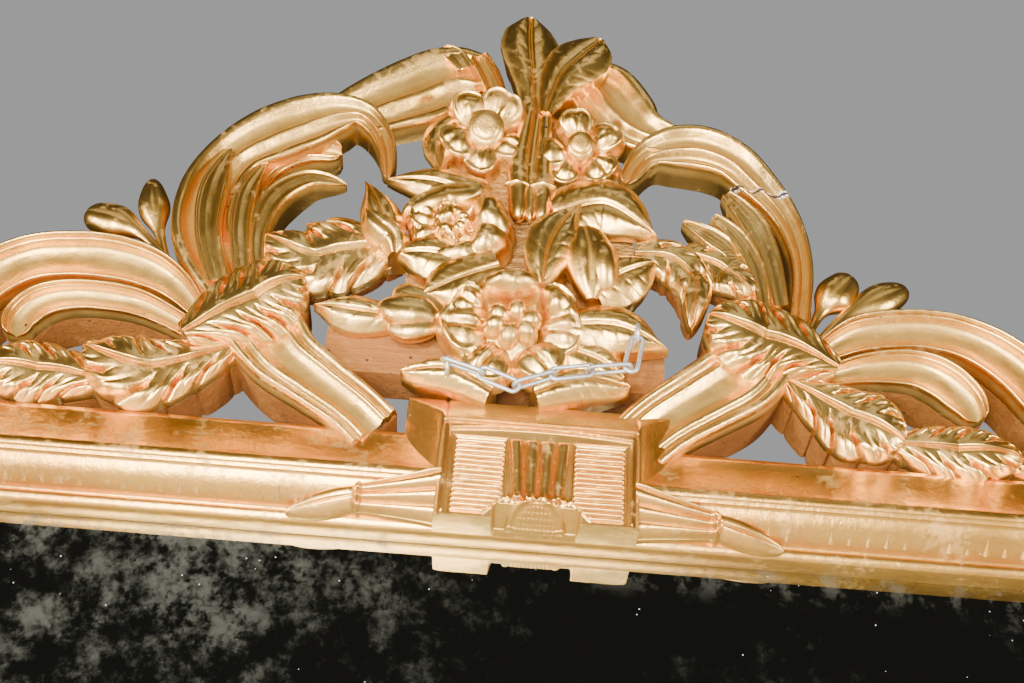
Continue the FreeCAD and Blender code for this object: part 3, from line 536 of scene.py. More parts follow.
        # overlapping petals as one height field round the centre, with a skirt drawn in under its rim
        g = bloomGrid
        theta = around(g["sides"])
        probe = np.linspace(0, max(p[1] + p[2] for p in petals) + g["margin"], g["probes"])
        inside = petalHeight(petals, base, droop, *np.meshgrid(probe, theta)) > bare
        outline = np.array([probe[np.nonzero(row)[0].max()] if row.any() else g["margin"] for row in inside])
        for _ in range(2):
            outline = (np.roll(outline, 1) + 2 * outline + np.roll(outline, -1)) / 4
        share = np.linspace(0, 1, g["rings"] + 1)[1:] ** 0.9
        radius = share[:, None] * outline[None] * 0.995
        angle = np.broadcast_to(theta[None], radius.shape)
        x, z = radius * np.cos(angle), radius * np.sin(angle)
        h = petalHeight(petals, base, droop, radius, angle)
        h = np.where(h > bare, h, base - g["floor"] + droop * z)
        h = h + ripple(x + centre[0], z + centre[0], g["unevenness"], 9)
        shade = np.clip((h - base - droop * z + 5) / 15, 0.05, 1)
        layers = list(crestPoints(centre[0] + x, h, centre[1] + z))
        rim = layers[-1] + np.array([0, g["rimDrop"], 0])
        skirt = rim.mean(0) + (rim - rim.mean(0)) * g["skirt"]
        skirt[:, 1] = -back
        self.shell(layers + [rim, skirt], [shade.ravel(), np.full(2 * g["sides"], 0.15)], [0.6, 0.1])


def petalHeight(petals, base, droop, radius, angle):
    # forward height of the highest petal: a rounded body, a cupped rim and a creased middle
    x, z = radius * np.cos(angle), radius * np.sin(angle)
    best = np.full(x.shape, bare)
    for turn, reach, long, wide, lift, lean, rim, crease, rise in petals:
        cosT, sinT = math.cos(math.radians(turn)), math.sin(math.radians(turn))
        a = x * cosT + z * sinT - reach
        b = -x * sinT + z * cosT
        e = np.sqrt((a / long) ** 2 + (b / wide) ** 2)
        e = e + 0.05 * np.cos(3 * np.arctan2(b, a) + turn) + 0.04 * bell(b, 0.25 * wide) * (a > 0)
        body = 1 - np.clip(e, 0, 1) ** 2.6
        cup = rim * bell(e - 0.80, 0.13) * (0.5 + 0.5 * np.tanh(a / long * 2 + 0.6))
        fold = crease * bell(b, 0.13 * wide) * np.clip(1 - e, 0, 1) ** 0.5
        floor = bloomGrid["floor"]
        h = base - floor + (lift + floor) * (0.88 * body + cup - fold) + lean * b + rise * a + droop * z
        best = np.maximum(best, np.where(e < 1, h, bare))
    return best


# sections across a carved band: (place from edge to edge, height)
sections = {
    "fluted": ((-1, 0), (-0.97, 0.55), (-0.91, 0.93), (-0.83, 1.0), (-0.74, 0.82), (-0.66, 0.32), (-0.52, 0.05),
               (-0.38, 0.14), (-0.27, 0.62), (-0.19, 0.92), (-0.11, 0.84), (-0.04, 0.42), (0.08, 0.12),
               (0.26, 0.0), (0.44, 0.16), (0.58, 0.62), (0.68, 0.93), (0.78, 1.0), (0.88, 0.9), (0.96, 0.5), (1, 0)),
    "reeded": ((-1, 0), (-0.95, 0.6), (-0.86, 0.95), (-0.76, 0.9), (-0.68, 0.5), (-0.62, 0.35), (-0.56, 0.6),
               (-0.47, 0.8), (-0.38, 0.55), (-0.2, 0.12), (0.0, 0.0), (0.2, 0.1), (0.36, 0.5), (0.44, 0.82),
               (0.52, 0.78), (0.58, 0.5), (0.64, 0.42), (0.72, 0.8), (0.82, 1.0), (0.92, 0.8), (1, 0)),
    "cove": ((-1, 0), (-0.97, 0.6), (-0.9, 0.95), (-0.82, 1.0), (-0.75, 0.78), (-0.71, 0.62), (-0.66, 0.78),
             (-0.59, 0.86), (-0.53, 0.6), (-0.45, 0.22), (-0.3, 0.03), (-0.05, -0.06), (0.2, 0.0), (0.45, 0.18),
             (0.66, 0.46), (0.8, 0.7), (0.88, 0.86), (0.95, 0.7), (1, 0)),
    "blade": ((-1, 0), (-0.93, 0.5), (-0.82, 0.8), (-0.72, 0.92), (-0.63, 0.74), (-0.5, 0.6), (-0.3, 0.56),
              (-0.05, 0.6), (0.2, 0.66), (0.42, 0.6), (0.56, 0.52), (0.66, 0.62), (0.78, 0.76), (0.9, 0.6), (1, 0)),
}


def band(carving, path, section, back, front, crown, stations, across, ends, shift=0.0, seed=1, wallFinish=1,
         flip=1, slope=0.0, thinTip=0.0):
    # a strip with one section along its path; ends are the shares of its length that are rounded off
    line, run, normal = pathFrame(path, stations)
    u = np.linspace(-1, 1, across)
    u = np.sign(u) * (1 - (1 - np.abs(u)) ** 1.15)
    keys = np.array(sections[section], float)
    share = np.clip(catmull(keys[:, 1], np.interp(u * flip, keys[:, 0], np.arange(len(keys)))), -0.1, 1.1)
    t = np.linspace(0, 1, stations)
    rounding = np.ones(stations)
    for end, at in zip(ends, (t, 1 - t)):
        if end:
            rounding *= np.sqrt(np.clip(1 - (1 - np.minimum(at / end, 1)) ** 2, 0.0, 1)) * 0.97 + 0.03
    width = line[:, 2] / 2 * rounding
    grid = line[:, None, :2] + normal[:, None, :] * (u[None, :, None] * width[:, None, None])
    scale = np.sqrt(np.clip(width / width.max(), 0.02, 1))
    heights = front + crown * share[None] * scale[:, None]
    heights += shift * np.sin(t * math.pi)[:, None] + slope * u[None] * flip * width[:, None]
    heights += ripple(grid[..., 0], grid[..., 1], 0.5, seed) * (1 - np.abs(u[None]) ** 8)
    thinning = 0.9 * np.clip((t - 1 + thinTip) / thinTip, 0, 1) ** 1.4 if thinTip else 0.0 * t
    carving.slab(grid, heights, np.repeat(share[None], stations, 0), back, wallFinish=wallFinish,
                 thinning=thinning)


# an acanthus leaf: sizes are shares of its half width or length, the curl in millimetres
acanthusShape = {"stations": 120, "across": 85, "notch": 0.26, "sweep": 0.10, "slant": 0.24, "ribWidth": 0.022,
                 "rib": 0.10, "channel": 0.16, "eyeAt": 0.60, "eye": 0.45, "tipCurl": 7.0, "unevenness": 0.8}


def acanthus(carving, path, back, front, crown, lobes, seed):
    # rounded lobes that point to the tip, drilled eyes between them, a fine rib and a turned tip
    s = acanthusShape
    line, run, normal = pathFrame(path, s["stations"])
    along, u = np.meshgrid(np.linspace(0, 1, s["stations"]), np.linspace(-1, 1, s["across"]), indexing="ij")
    a = np.abs(u)
    wave = (along - s["slant"] * a) * lobes + (u > 0) * 0.35 + np.random.default_rng(seed).uniform(0.1, 0.4)
    part = wave - np.floor(wave)
    near = np.minimum(part, 1 - part)                      # 0 on the line between two lobes
    pillow = np.sqrt(np.clip(1 - (1 - near * 2) ** 2, 0, 1))
    edge = 1 - s["notch"] * (1 - pillow) ** 1.6 * a ** 2.5
    tip = np.sqrt(np.clip(1 - np.clip((along - 0.86) / 0.14, 0, 1) ** 2, 0.02, 1))
    width = line[:, 2][:, None] / 2 * tip
    swept = s["sweep"] * width * a ** 2 * pillow * np.sin(along * math.pi) ** 0.5
    grid = (line[:, None, :2] + normal[:, None, :] * (u * width * edge)[..., None]
            + run[:, None, :] * swept[..., None])
    scale = np.sqrt(np.clip(line[:, 2] / line[:, 2].max(), 0.05, 1))[:, None]
    inner = np.clip((a - 0.22) * 2.4, 0, 1)
    share = (1 - a ** 2.4) * 0.80 + pillow * 0.26 * bell(a - 0.74, 0.20)
    share += bell(u, s["ribWidth"]) * s["rib"] - bell(a - 0.06, 0.028) * s["channel"]
    share -= bell(near, 0.07) * 0.42 * inner
    share -= bell(part - 0.5, 0.055) * 0.13 * inner * (1 - a ** 6)
    share -= bell(a - s["eyeAt"], 0.075) * bell(near, 0.13) * s["eye"]
    heights = front + crown * share * scale
    heights += s["tipCurl"] * np.sin(np.clip((along - 0.55) / 0.45, 0, 1) * math.pi * 0.85) * (1 - 0.3 * a)
    heights += ripple(grid[..., 0], grid[..., 1], s["unevenness"], seed + 5)
    thinning = 0.5 * np.clip((along[:, 0] - 0.75) / 0.25, 0, 1) ** 1.5
    carving.slab(grid, heights, np.clip(share + 0.12, 0, 1), back, 7.0, 0.88, thinning=thinning)


leafShape = {"slant": 0.20, "groove": 0.30, "rib": 0.24, "vein": 0.16, "curl": 3.0, "unevenness": 0.45}


def plainLeaf(carving, path, back, front, crown, veins=6, stations=60, across=45, seed=1, serrate=0.05,
              side=0.0, blunt=False):
    # an oval leaf with a pointed or blunt tip: a channelled midrib, slanting veins and a softly toothed edge
    s = leafShape
    line, run, normal = pathFrame(path, stations)
    along, u = np.meshgrid(np.linspace(0, 1, stations), np.linspace(-1, 1, across), indexing="ij")
    a = np.abs(u)
    teeth = np.abs(np.sin(((along - s["slant"] * a) * veins + (u > 0) * 0.5) * math.pi)) ** 0.4
    late = np.clip((along - 0.66) / 0.34, 0, 1)
    tip = np.sqrt(np.clip(1 - late ** 2.4, 0.003, 1)) if blunt else np.clip(1 - late ** 1.7, 0.06, 1)
    width = line[:, 2][:, None] / 2 * (1 - serrate * (1 - teeth) * a ** 3) * tip
    grid = line[:, None, :2] + normal[:, None, :] * (u * width)[..., None]
    scale = np.sqrt(np.clip(line[:, 2] / line[:, 2].max(), 0.05, 1))[:, None]
    body = (1 - a ** 3) * 0.75 + bell(a - 0.42, 0.3) * 0.25
    groove = bell(u, 0.06) * s["groove"] - bell(u, 0.022) * s["rib"]
    share = body - groove - (1 - teeth) ** 2 * s["vein"] * np.clip(a * 3, 0, 1) * (1 - a ** 3)
    heights = front + crown * share * scale + side * u * width
    heights += s["curl"] * np.sin(along * math.pi * 1.1 - 0.5) * (1 - 0.4 * a)
    heights += ripple(grid[..., 0], grid[..., 1], s["unevenness"], seed)
    thinning = 0.85 * np.clip((along[:, 0] - 0.45) / 0.55, 0, 1)
    carving.slab(grid, heights, np.clip(share + 0.1, 0, 1), back, 5.0, 0.86, 0, thinning)


def budShape(carving, path, forward, stations=44, sides=20, split=True, flatten=0.8):
    # a stem that swells into a closed bud, round in section, with a split at its tip
    line, run, normal = pathFrame(path, stations)
    angles = around(sides)
    t = np.linspace(0, 1, stations)
    radius = line[:, 2] / 2 * np.sqrt(np.clip(1 - np.clip((t - 0.86) / 0.14, 0, 1) ** 2, 0.001, 1))
    swell = np.clip((line[:, 2] - 9) / 18, 0, 1)
    fromSplit = (angles - math.pi / 2 + math.pi) % (2 * math.pi) - math.pi
    layers, relief = [], []
    for i in range(stations):
        crease = 1 - 0.20 * swell[i] * np.exp(-fromSplit ** 2 / 0.018) * split
        crease = crease - 0.07 * swell[i] * np.abs(np.cos(angles * 1.5)) ** 8
        a = radius[i] * np.cos(angles) * crease
        x, z = (line[i, :2] + normal[i] * a[:, None]).T
        layers.append(crestPoints(x, forward + radius[i] * np.sin(angles) * crease * flatten, z))
        # low relief in the creases darkens the gold there: painted shade with toning
        relief.append(np.clip((crease - 0.8) * 5, 0, 1))
    carving.shell(layers, relief, [0.0, 0.0])


# scrolls: section, back, front, crown, rounded ends, wall finish, flip, slope and path of each band
sideSlope = -0.14
scrolls = {
    "fan_left": ("fluted", thin, 44, 9, (0, 0.10), 0, 1, 0.0,
                 [(-138, 292, 56), (-116, 308, 66), (-89, 325, 76), (-59, 344, 74), (-34, 342, 56)]),
    "fan_right": ("fluted", thin, 44, 9, (0.1, 0), 0, 1, 0.0,
                  [(48, 360, 46), (62, 346, 64), (77, 322, 66), (96, 302, 52), (122, 294, 32), (152, 292, 12)]),
    "leg_left": ("reeded", thick, 50, 8, (0, 0), 1, 1, 0.0,
                 [(-172, 76, 60), (-154, 53, 53), (-127, 33, 46), (-101, 15, 42), (-84, 0, 42)]),
    "leg_right": ("reeded", thick, 50, 8, (0, 0), 1, 1, 0.0,
                  [(180, 84, 64), (166, 63, 62), (143, 44, 57), (116, 23, 52), (97, 4, 49)]),
    "side_scroll_lower_left": ("cove", thick, 46, 7, (0, 0.08), 1, 1, sideSlope,
                               [(-222, 70, 14), (-247, 83, 18), (-274, 92, 22), (-309, 93, 24), (-333, 85, 27),
                                (-345, 70, 26), (-345, 55, 17)]),
    "side_scroll_lower_right": ("cove", thick, 46, 7, (0, 0.08), 1, -1, sideSlope,
                                [(232, 74, 14), (261, 83, 24), (292, 86, 30), (313, 79, 33), (330, 63, 30),
                                 (338, 47, 17)]),
    "side_scroll_upper_left": ("cove", thick, 46, 9, (0, 0.05), 1, 1, sideSlope,
                               [(-218, 84, 12), (-240, 107, 24), (-263, 121, 33), (-292, 128, 38),
                                (-322, 128, 39), (-352, 121, 40), (-378, 100, 40), (-394, 70, 36), (-398, 44, 22)]),
    "side_scroll_upper_right": ("cove", thick, 46, 9, (0, 0.05), 1, -1, sideSlope,
                                [(224, 90, 14), (257, 112, 29), (294, 120, 32), (326, 118, 35), (352, 107, 38),
                                 (375, 87, 40), (390, 62, 36), (394, 40, 22)]),
}

# the C scrolls: rounded ends, thinned tip, rounded blade tips, finish, main path and the paths of the blades
cScrolls = {
    "scroll_left": ((0, 0.05), 0.18, 0.14, gold,
                    [(-203, 112, 42), (-231, 155, 46), (-234, 199, 49), (-222, 234, 48), (-198, 258, 58),
                     (-172, 276, 58), (-149, 288, 46), (-129, 290, 28), (-114, 276, 20), (-104, 253, 15),
                     (-101, 227, 8)],
                    [(-211, 112, 18), (-227, 156, 20), (-230, 200, 22), (-224, 241, 4)],
                    [(-193, 116, 14), (-203, 159, 17), (-204, 198, 17), (-194, 232, 4)],
                    [(-184, 122, 15), (-190, 158, 17), (-183, 194, 22), (-160, 216, 18), (-131, 215, 5)]),
    "scroll_right": ((0.05, 0), 0.0, 0.03, goldCracked,
                     [(84, 240, 15), (99, 268, 26), (120, 279, 44), (145, 280, 49), (169, 269, 42),
                      (186, 250, 36), (203, 226, 27), (214, 200, 21), (219, 166, 17), (214, 112, 16)],
                     [(200, 128, 13), (193, 171, 18), (180, 206, 22), (162, 233, 10)],
                     [(188, 122, 12), (183, 159, 15), (170, 188, 16), (152, 210, 8)],
                     [(179, 122, 12), (170, 166, 15), (151, 188, 19), (129, 204, 5)]),
}
lowerReeds = [(-140, 252, 22), (-168, 252, 30), (-193, 236, 30), (-206, 206, 26), (-210, 170, 20)]
fanPleat = [(-22, 320, 17), (-30, 342, 19), (-41, 364, 17)]
fanBlade = [(-50, 352, 16), (-60, 366, 19), (-72, 376, 10)]


def makeScrolls():
    for name, (ends, thinTip, bladeTip, finish, path, *blades) in cScrolls.items():
        carving = Carving()
        band(carving, path, "fluted", thin, 50, 8, 140, 73, ends, 2.0, 3, 0, thinTip=thinTip)
        if name == "scroll_left":                          # the second, lower run of reeds and its torn end
            band(carving, lowerReeds, "reeded", thin, 46, 6, 70, 49, (0.10, 0), seed=8, wallFinish=0)
        for i, (blade, lift) in enumerate(zip(blades, (5.0, 4.0, 2.5))):
            band(carving, blade, "blade", thin + 1, 50 + lift, 6, 60, 41, (0, bladeTip), 2.5, 11 + i, 0,
                 thinTip=0.45)
        carving.make(name, finish)
    for name, (section, back, front, crown, ends, wallFinish, flip, slope, path) in scrolls.items():
        carving = Carving()
        band(carving, path, section, back, front, crown, 100, 73, ends, 1.5, 21, wallFinish, flip, slope)
        if name == "fan_left":                             # the short pleats beside its end
            band(carving, fanPleat, "reeded", thin, 55, 5, 40, 41, (0, 0.08), seed=60, wallFinish=0, thinTip=0.4)
            band(carving, fanBlade, "blade", thin, 49, 7, 40, 31, (0.1, 0.2), seed=61, wallFinish=0, thinTip=0.4)
        carving.make(name)
    print("scrolls made")


# acanthus leaves: path, lobes, front, crown and back
acanthusLeaves = {
    "knot_leaf_left": [([(-226, 62, 24), (-196, 86, 66), (-172, 101, 70), (-147, 114, 30)], 6, 54, 15, thick)],
    "knot_leaf_right": [([(238, 76, 20), (204, 92, 62), (177, 98, 70), (145, 110, 32)], 6, 54, 15, thick)],
    "hanging_leaf_left": [([(-190, 60, 16), (-222, 42, 46), (-255, 32, 62), (-293, 45, 18)], 5, 49, 13, thick)],
    "hanging_leaf_right": [([(200, 68, 12), (229, 50, 44), (253, 34, 62), (280, 18, 30)], 5, 49, 13, thick)],
    "outer_leaf_left": [([(-268, 22, 12), (-303, 27, 43), (-331, 26, 50), (-364, 22, 18)], 5, 47, 11, thick),
                        ([(-350, 14, 12), (-372, 15, 26), (-394, 9, 12)], 3, 45, 7, thick)],
    "outer_leaf_right": [([(268, 22, 12), (299, 20, 40), (329, 18, 45), (363, 15, 16)], 5, 47, 11, thick),
                         ([(350, 14, 12), (372, 15, 26), (394, 9, 12)], 3, 45, 7, thick)],
    "inner_leaf_left": [([(-84, 162, 30), (-124, 152, 72), (-153, 143, 58), (-186, 158, 10)], 5, 49, 11, thin)],
    "inner_leaf_right": [([(92, 164, 28), (120, 162, 40), (136, 139, 30), (133, 100, 6)], 3, 56, 8, 36),
                         ([(128, 172, 24), (157, 160, 45), (178, 134, 14)], 3, 53, 8, 36)],
}


def makeAcanthus():
    for k, (name, leaves) in enumerate(acanthusLeaves.items()):
        carving = Carving()
        for j, (path, lobes, front, crown, back) in enumerate(leaves):
            acanthus(carving, path, back, front, crown, lobes, 31 + k * 3 + j)
        if name == "inner_leaf_left":                      # the closed bud that stands on this leaf
            plainLeaf(carving, [(-92, 148, 18), (-94, 165, 30), (-104, 189, 28), (-116, 212, 5)], 36, 58, 12, 2,
                      46, 33, serrate=0.0)
            plainLeaf(carving, [(-84, 142, 14), (-88, 156, 24), (-104, 170, 22), (-112, 182, 5)], 40, 63, 10, 2,
                      40, 29, serrate=0.0)
        carving.make(name)
    print("acanthus made")


# plain leaves: path, back, front, crown and sideways lean
leafPieces = {
    "top_leaves": [([(9, 300, 12), (6, 340, 34), (2, 374, 50), (0, 409, 46)], 40, 55, 8, 0.20),
                   ([(18, 300, 10), (27, 336, 36), (42, 360, 52), (60, 384, 44)], 40, 61, 7, -0.10)],
    "base_leaves": [([(-6, 32, 20), (-36, 44, 27), (-70, 40, 14)], 30, 59, 8, 0.0),
                    ([(24, 32, 20), (56, 44, 27), (90, 42, 14)], 30, 59, 8, 0.0)],
    "cluster_leaves_left": [([(-30, 145, 37), (-61, 146, 42), (-86, 144, 9)], 45, 60, 7, 0.0),
                            ([(-8, 138, 52), (-39, 120, 46), (-63, 104, 10)], 45, 63, 8, 0.0),
                            ([(-26, 208, 40), (-63, 218, 34), (-100, 218, 5)], 45, 57, 7, 0.0),
                            ([(-44, 300, 22), (-63, 270, 30), (-60, 232, 8)], 45, 53, 6, 0.1)],
    "cluster_leaves_right": [([(24, 116, 9), (26, 143, 35), (34, 167, 38), (49, 192, 6)], 45, 76, 9, 0.10),
                             ([(40, 86, 26), (79, 87, 40), (116, 72, 4)], 45, 67, 8, 0.0),
                             ([(42, 72, 25), (66, 61, 36), (85, 48, 10)], 45, 61, 8, 0.0),
                             ([(30, 194, 44), (68, 206, 54), (108, 180, 16)], 45, 59, 8, 0.05),
                             ([(60, 122, 40), (84, 138, 45), (106, 152, 14)], 45, 63, 9, 0.0)],
}

# buds and stems: flattening, then path and forward place of each
buds = {
    "bud_spray_left": (0.8, ([(-248, 118, 6), (-267, 163, 8), (-277, 189, 25), (-284, 218, 10)], 38),
                       ([(-258, 142, 7), (-281, 163, 10), (-302, 172, 30), (-327, 178, 20)], 38)),
    "bud_spray_right": (0.8, ([(217, 104, 6), (233, 137, 9), (244, 154, 30), (260, 174, 20)], 38),
                        ([(224, 102, 7), (251, 135, 10), (279, 154, 28), (302, 167, 14)], 38)),
    "bud_branch_left": (0.75, ([(-44, 92, 14), (-58, 100, 26), (-74, 107, 24), (-84, 108, 8)], 60),
                        ([(-50, 88, 12), (-62, 92, 26), (-78, 92, 26), (-92, 96, 10)], 64),
                        ([(-46, 84, 10), (-58, 82, 22), (-72, 79, 22), (-84, 80, 8)], 60)),
    "stem_bundle": (1.1, ([(6, 312, 8), (0, 254, 16), (1, 226, 18), (3, 190, 13)], 56),
                    ([(19, 312, 8), (19, 255, 15), (20, 226, 17), (21, 190, 12)], 56),
                    ([(12, 300, 7), (10, 254, 10), (10, 226, 12), (12, 190, 9)], 56)),
}


def makeLeaves():
    for k, (name, leaves) in enumerate(leafPieces.items()):
        carving = Carving()
        for j, (path, back, front, crown, side) in enumerate(leaves):
            blunt = name in ("top_leaves", "base_leaves") or j in (2, 4)
            plainLeaf(carving, path, back, front, crown, 6 + j % 2, seed=51 + k * 5 + j, side=side, blunt=blunt)
        carving.make(name)
    for name, (flatten, *stems) in buds.items():
        carving = Carving()
        if name == "bud_branch_left":
            plainLeaf(carving, [(-80, 92, 20), (-111, 92, 32), (-139, 96, 6)], 45, 54, 8, 4, serrate=0.02)
        for path, forward in stems:
            budShape(carving, path, forward, split=name != "stem_bundle", flatten=flatten)
        if name == "stem_bundle":                          # the tie round each pair of stems
            for x in (0, 20):
                carving.dome((x, 222), 62, (10.5, 3.2), 5, rings=4, sides=16)
        carving.make(name)
    print("leaves and buds made")


# flowers: centre, back, base, droop and petals of (angle, reach, long, wide, lift, lean, rim, crease, rise)
blooms = {
    "rose": ((-40, 174), 45, 62, 0.12, (
        (117, 28, 13, 38, 10, 0.05, 0.3, 0.0, -0.1), (165, 28, 13, 17, 9, 0.1, 0.4, 0.2, 0.1),
        (208, 26, 15, 17, 10, 0.1, 0.4, 0.2, 0.1), (-80, 27, 14, 30, 14, -0.05, 0.3, 0.0, -0.2),
        (18, 24, 17, 26, 22, -0.12, 0.1, 0.0, -0.12), (-36, 26, 17, 22, 20, 0.12, 0.1, 0.0, -0.15),
        (150, 12, 9, 16, 14, 0.1, 0.4, 0.0, 0.2), (225, 12, 8, 14, 15, -0.1, 0.4, 0.0, 0.2),
        (0, 0, 16, 16, 6, 0.0, 0.0, 0.0, 0.0))),
    "central_flower": ((5, 80), 45, 66, 0.16, (
        (180, 34, 21, 25, 12, 0.10, 0.35, 0.25, 0.1), (238, 31, 20, 21, 11, 0.12, 0.3, 0.3, 0.05),
        (-46, 32, 20, 22, 12, -0.1, 0.3, 0.3, 0.05), (0, 35, 18, 20, 12, 0.12, 0.3, 0.2, 0.1),
        (36, 38, 14, 17, 17, 0.0, 0.3, 0.0, -0.1), (94, 35, 13, 25, 20, 0.0, 0.1, 0.0, -0.25),
        (150, 38, 13, 17, 11, 0.0, 0.4, 0.2, 0.1), (0, 0, 22, 22, 5, 0, 0, 0, 0))),
    "flower_upper_left": ((-28, 275), 45, 58, 0.24, tuple(
        (angle, 24, 17.5, wide, lift, lean, 0.28, crease, 0.10) for angle, wide, lift, lean, crease in (
            (62, 21, 14, 0.12, 0.14), (128, 17, 13, -0.10, 0.0), (206, 20, 14, 0.10, 0.05),
            (266, 17, 12, 0.10, 0.1), (330, 18, 13, -0.22, 0.2)))),
    "flower_upper_right": ((47, 264), 45, 58, 0.24, tuple(
        (angle, 22, 16, wide, lift, lean, 0.28, crease, 0.10) for angle, wide, lift, lean, crease in (
            (100, 16, 12, 0.10, 0.05), (30, 16, 13, -0.12, 0.05), (-44, 18, 13, 0.05, 0.15),
            (196, 17, 14, 0.12, 0.0), (244, 12, 9, 0.0, 0.05)))),
}
buttonSize = {"flower_upper_left": 14.5, "flower_upper_right": 11.0}

# six small domes in the heart of a flower: first turn, offset, spread, forward, radii, height and its change
hearts = {
    "rose": {"turn": 0.2, "offset": (-7, 2), "spread": (9.5, 8.5), "forward": 66, "radii": (6.0, 7.2),
             "height": (6.5, 0.0), "sides": 22, "tilt": (0, 0.2), "crease": 0.25, "power": 2.6, "base": 6},
    "central_flower": {"turn": 0.35, "offset": (0, 3), "spread": (13, 10.5), "forward": 72, "radii": (8.8, 7.6),
                       "height": (6.0, 1.5), "sides": 24, "tilt": (0, 0.25), "crease": 0.0, "power": 3.0, "base": 5},
}


def makeFlowers():
    for name, ((x, z), back, base, droop, petals) in blooms.items():
        carving = Carving()
        carving.bloom((x, z), petals, back, base, droop)
        if name in buttonSize:
            for lift, part, forward in ((3.2, 1.0, 8.0), (2.2, 0.78, 11.0)):
                size = buttonSize[name] * part
                carving.dome((x, z - 1), base + forward, (size, size), lift, rings=9, sides=32, tilt=(0, 0.42),
                             power=7, base=9)
        else:
            h = hearts[name]
            for k in range(6):
                turn = k * math.pi / 3 + h["turn"]
                place = (x + h["offset"][0] + h["spread"][0] * math.cos(turn),
                         z + h["offset"][1] + h["spread"][1] * math.sin(turn))
                carving.dome(place, h["forward"], h["radii"], h["height"][0] + h["height"][1] * (k % 2), turn, 8,
                             h["sides"], h["tilt"], h["crease"], h["power"], h["base"])
        carving.make(name)
    tulip = Carving()
    budShape(tulip, [(60, 110, 8), (58, 126, 28), (56, 150, 40), (51, 176, 22)], 70, 50, 28)
    tulip.dome((66, 142), 74, (13, 24), 12, 0.15, 7, 26, (0.1, 0.0), 0.0, 2.4, 14)
    tulip.make("tulip_bud")
    print("flowers made")


makeScrolls()
makeAcanthus()
makeLeaves()
makeFlowers()


# block on the top rail, as one relief over a fine grid; heights are from the frame's back

block = {"x": 14.0, "frontHalf": 65.5, "backHalf": 93.0, "sideGap": 1.5, "front": 70.0, "side": 49.0, "foot": 46.5,
         "top": 101.0, "shoulder": 74.0, "footRound": 2.0, "coveHeight": 13.0, "coveHalf": 28.0, "ridge": 30.0,
         "panelInner": 24.0, "panelOuter": 56.0, "panelBottom": 5.0, "panelTop": 60.0, "corner": 12.0, "ribs": 15,
         "pleatBottom": 15.0, "pleatTop": 61.0, "pleatHalf": 21.0, "pleats": 4, "medallionHalf": 20.0,
         "medallionHeight": 16.0, "fieldTop": 69.5, "fieldHalf": 61.6, "bottom": 72.0, "back": 31.0}


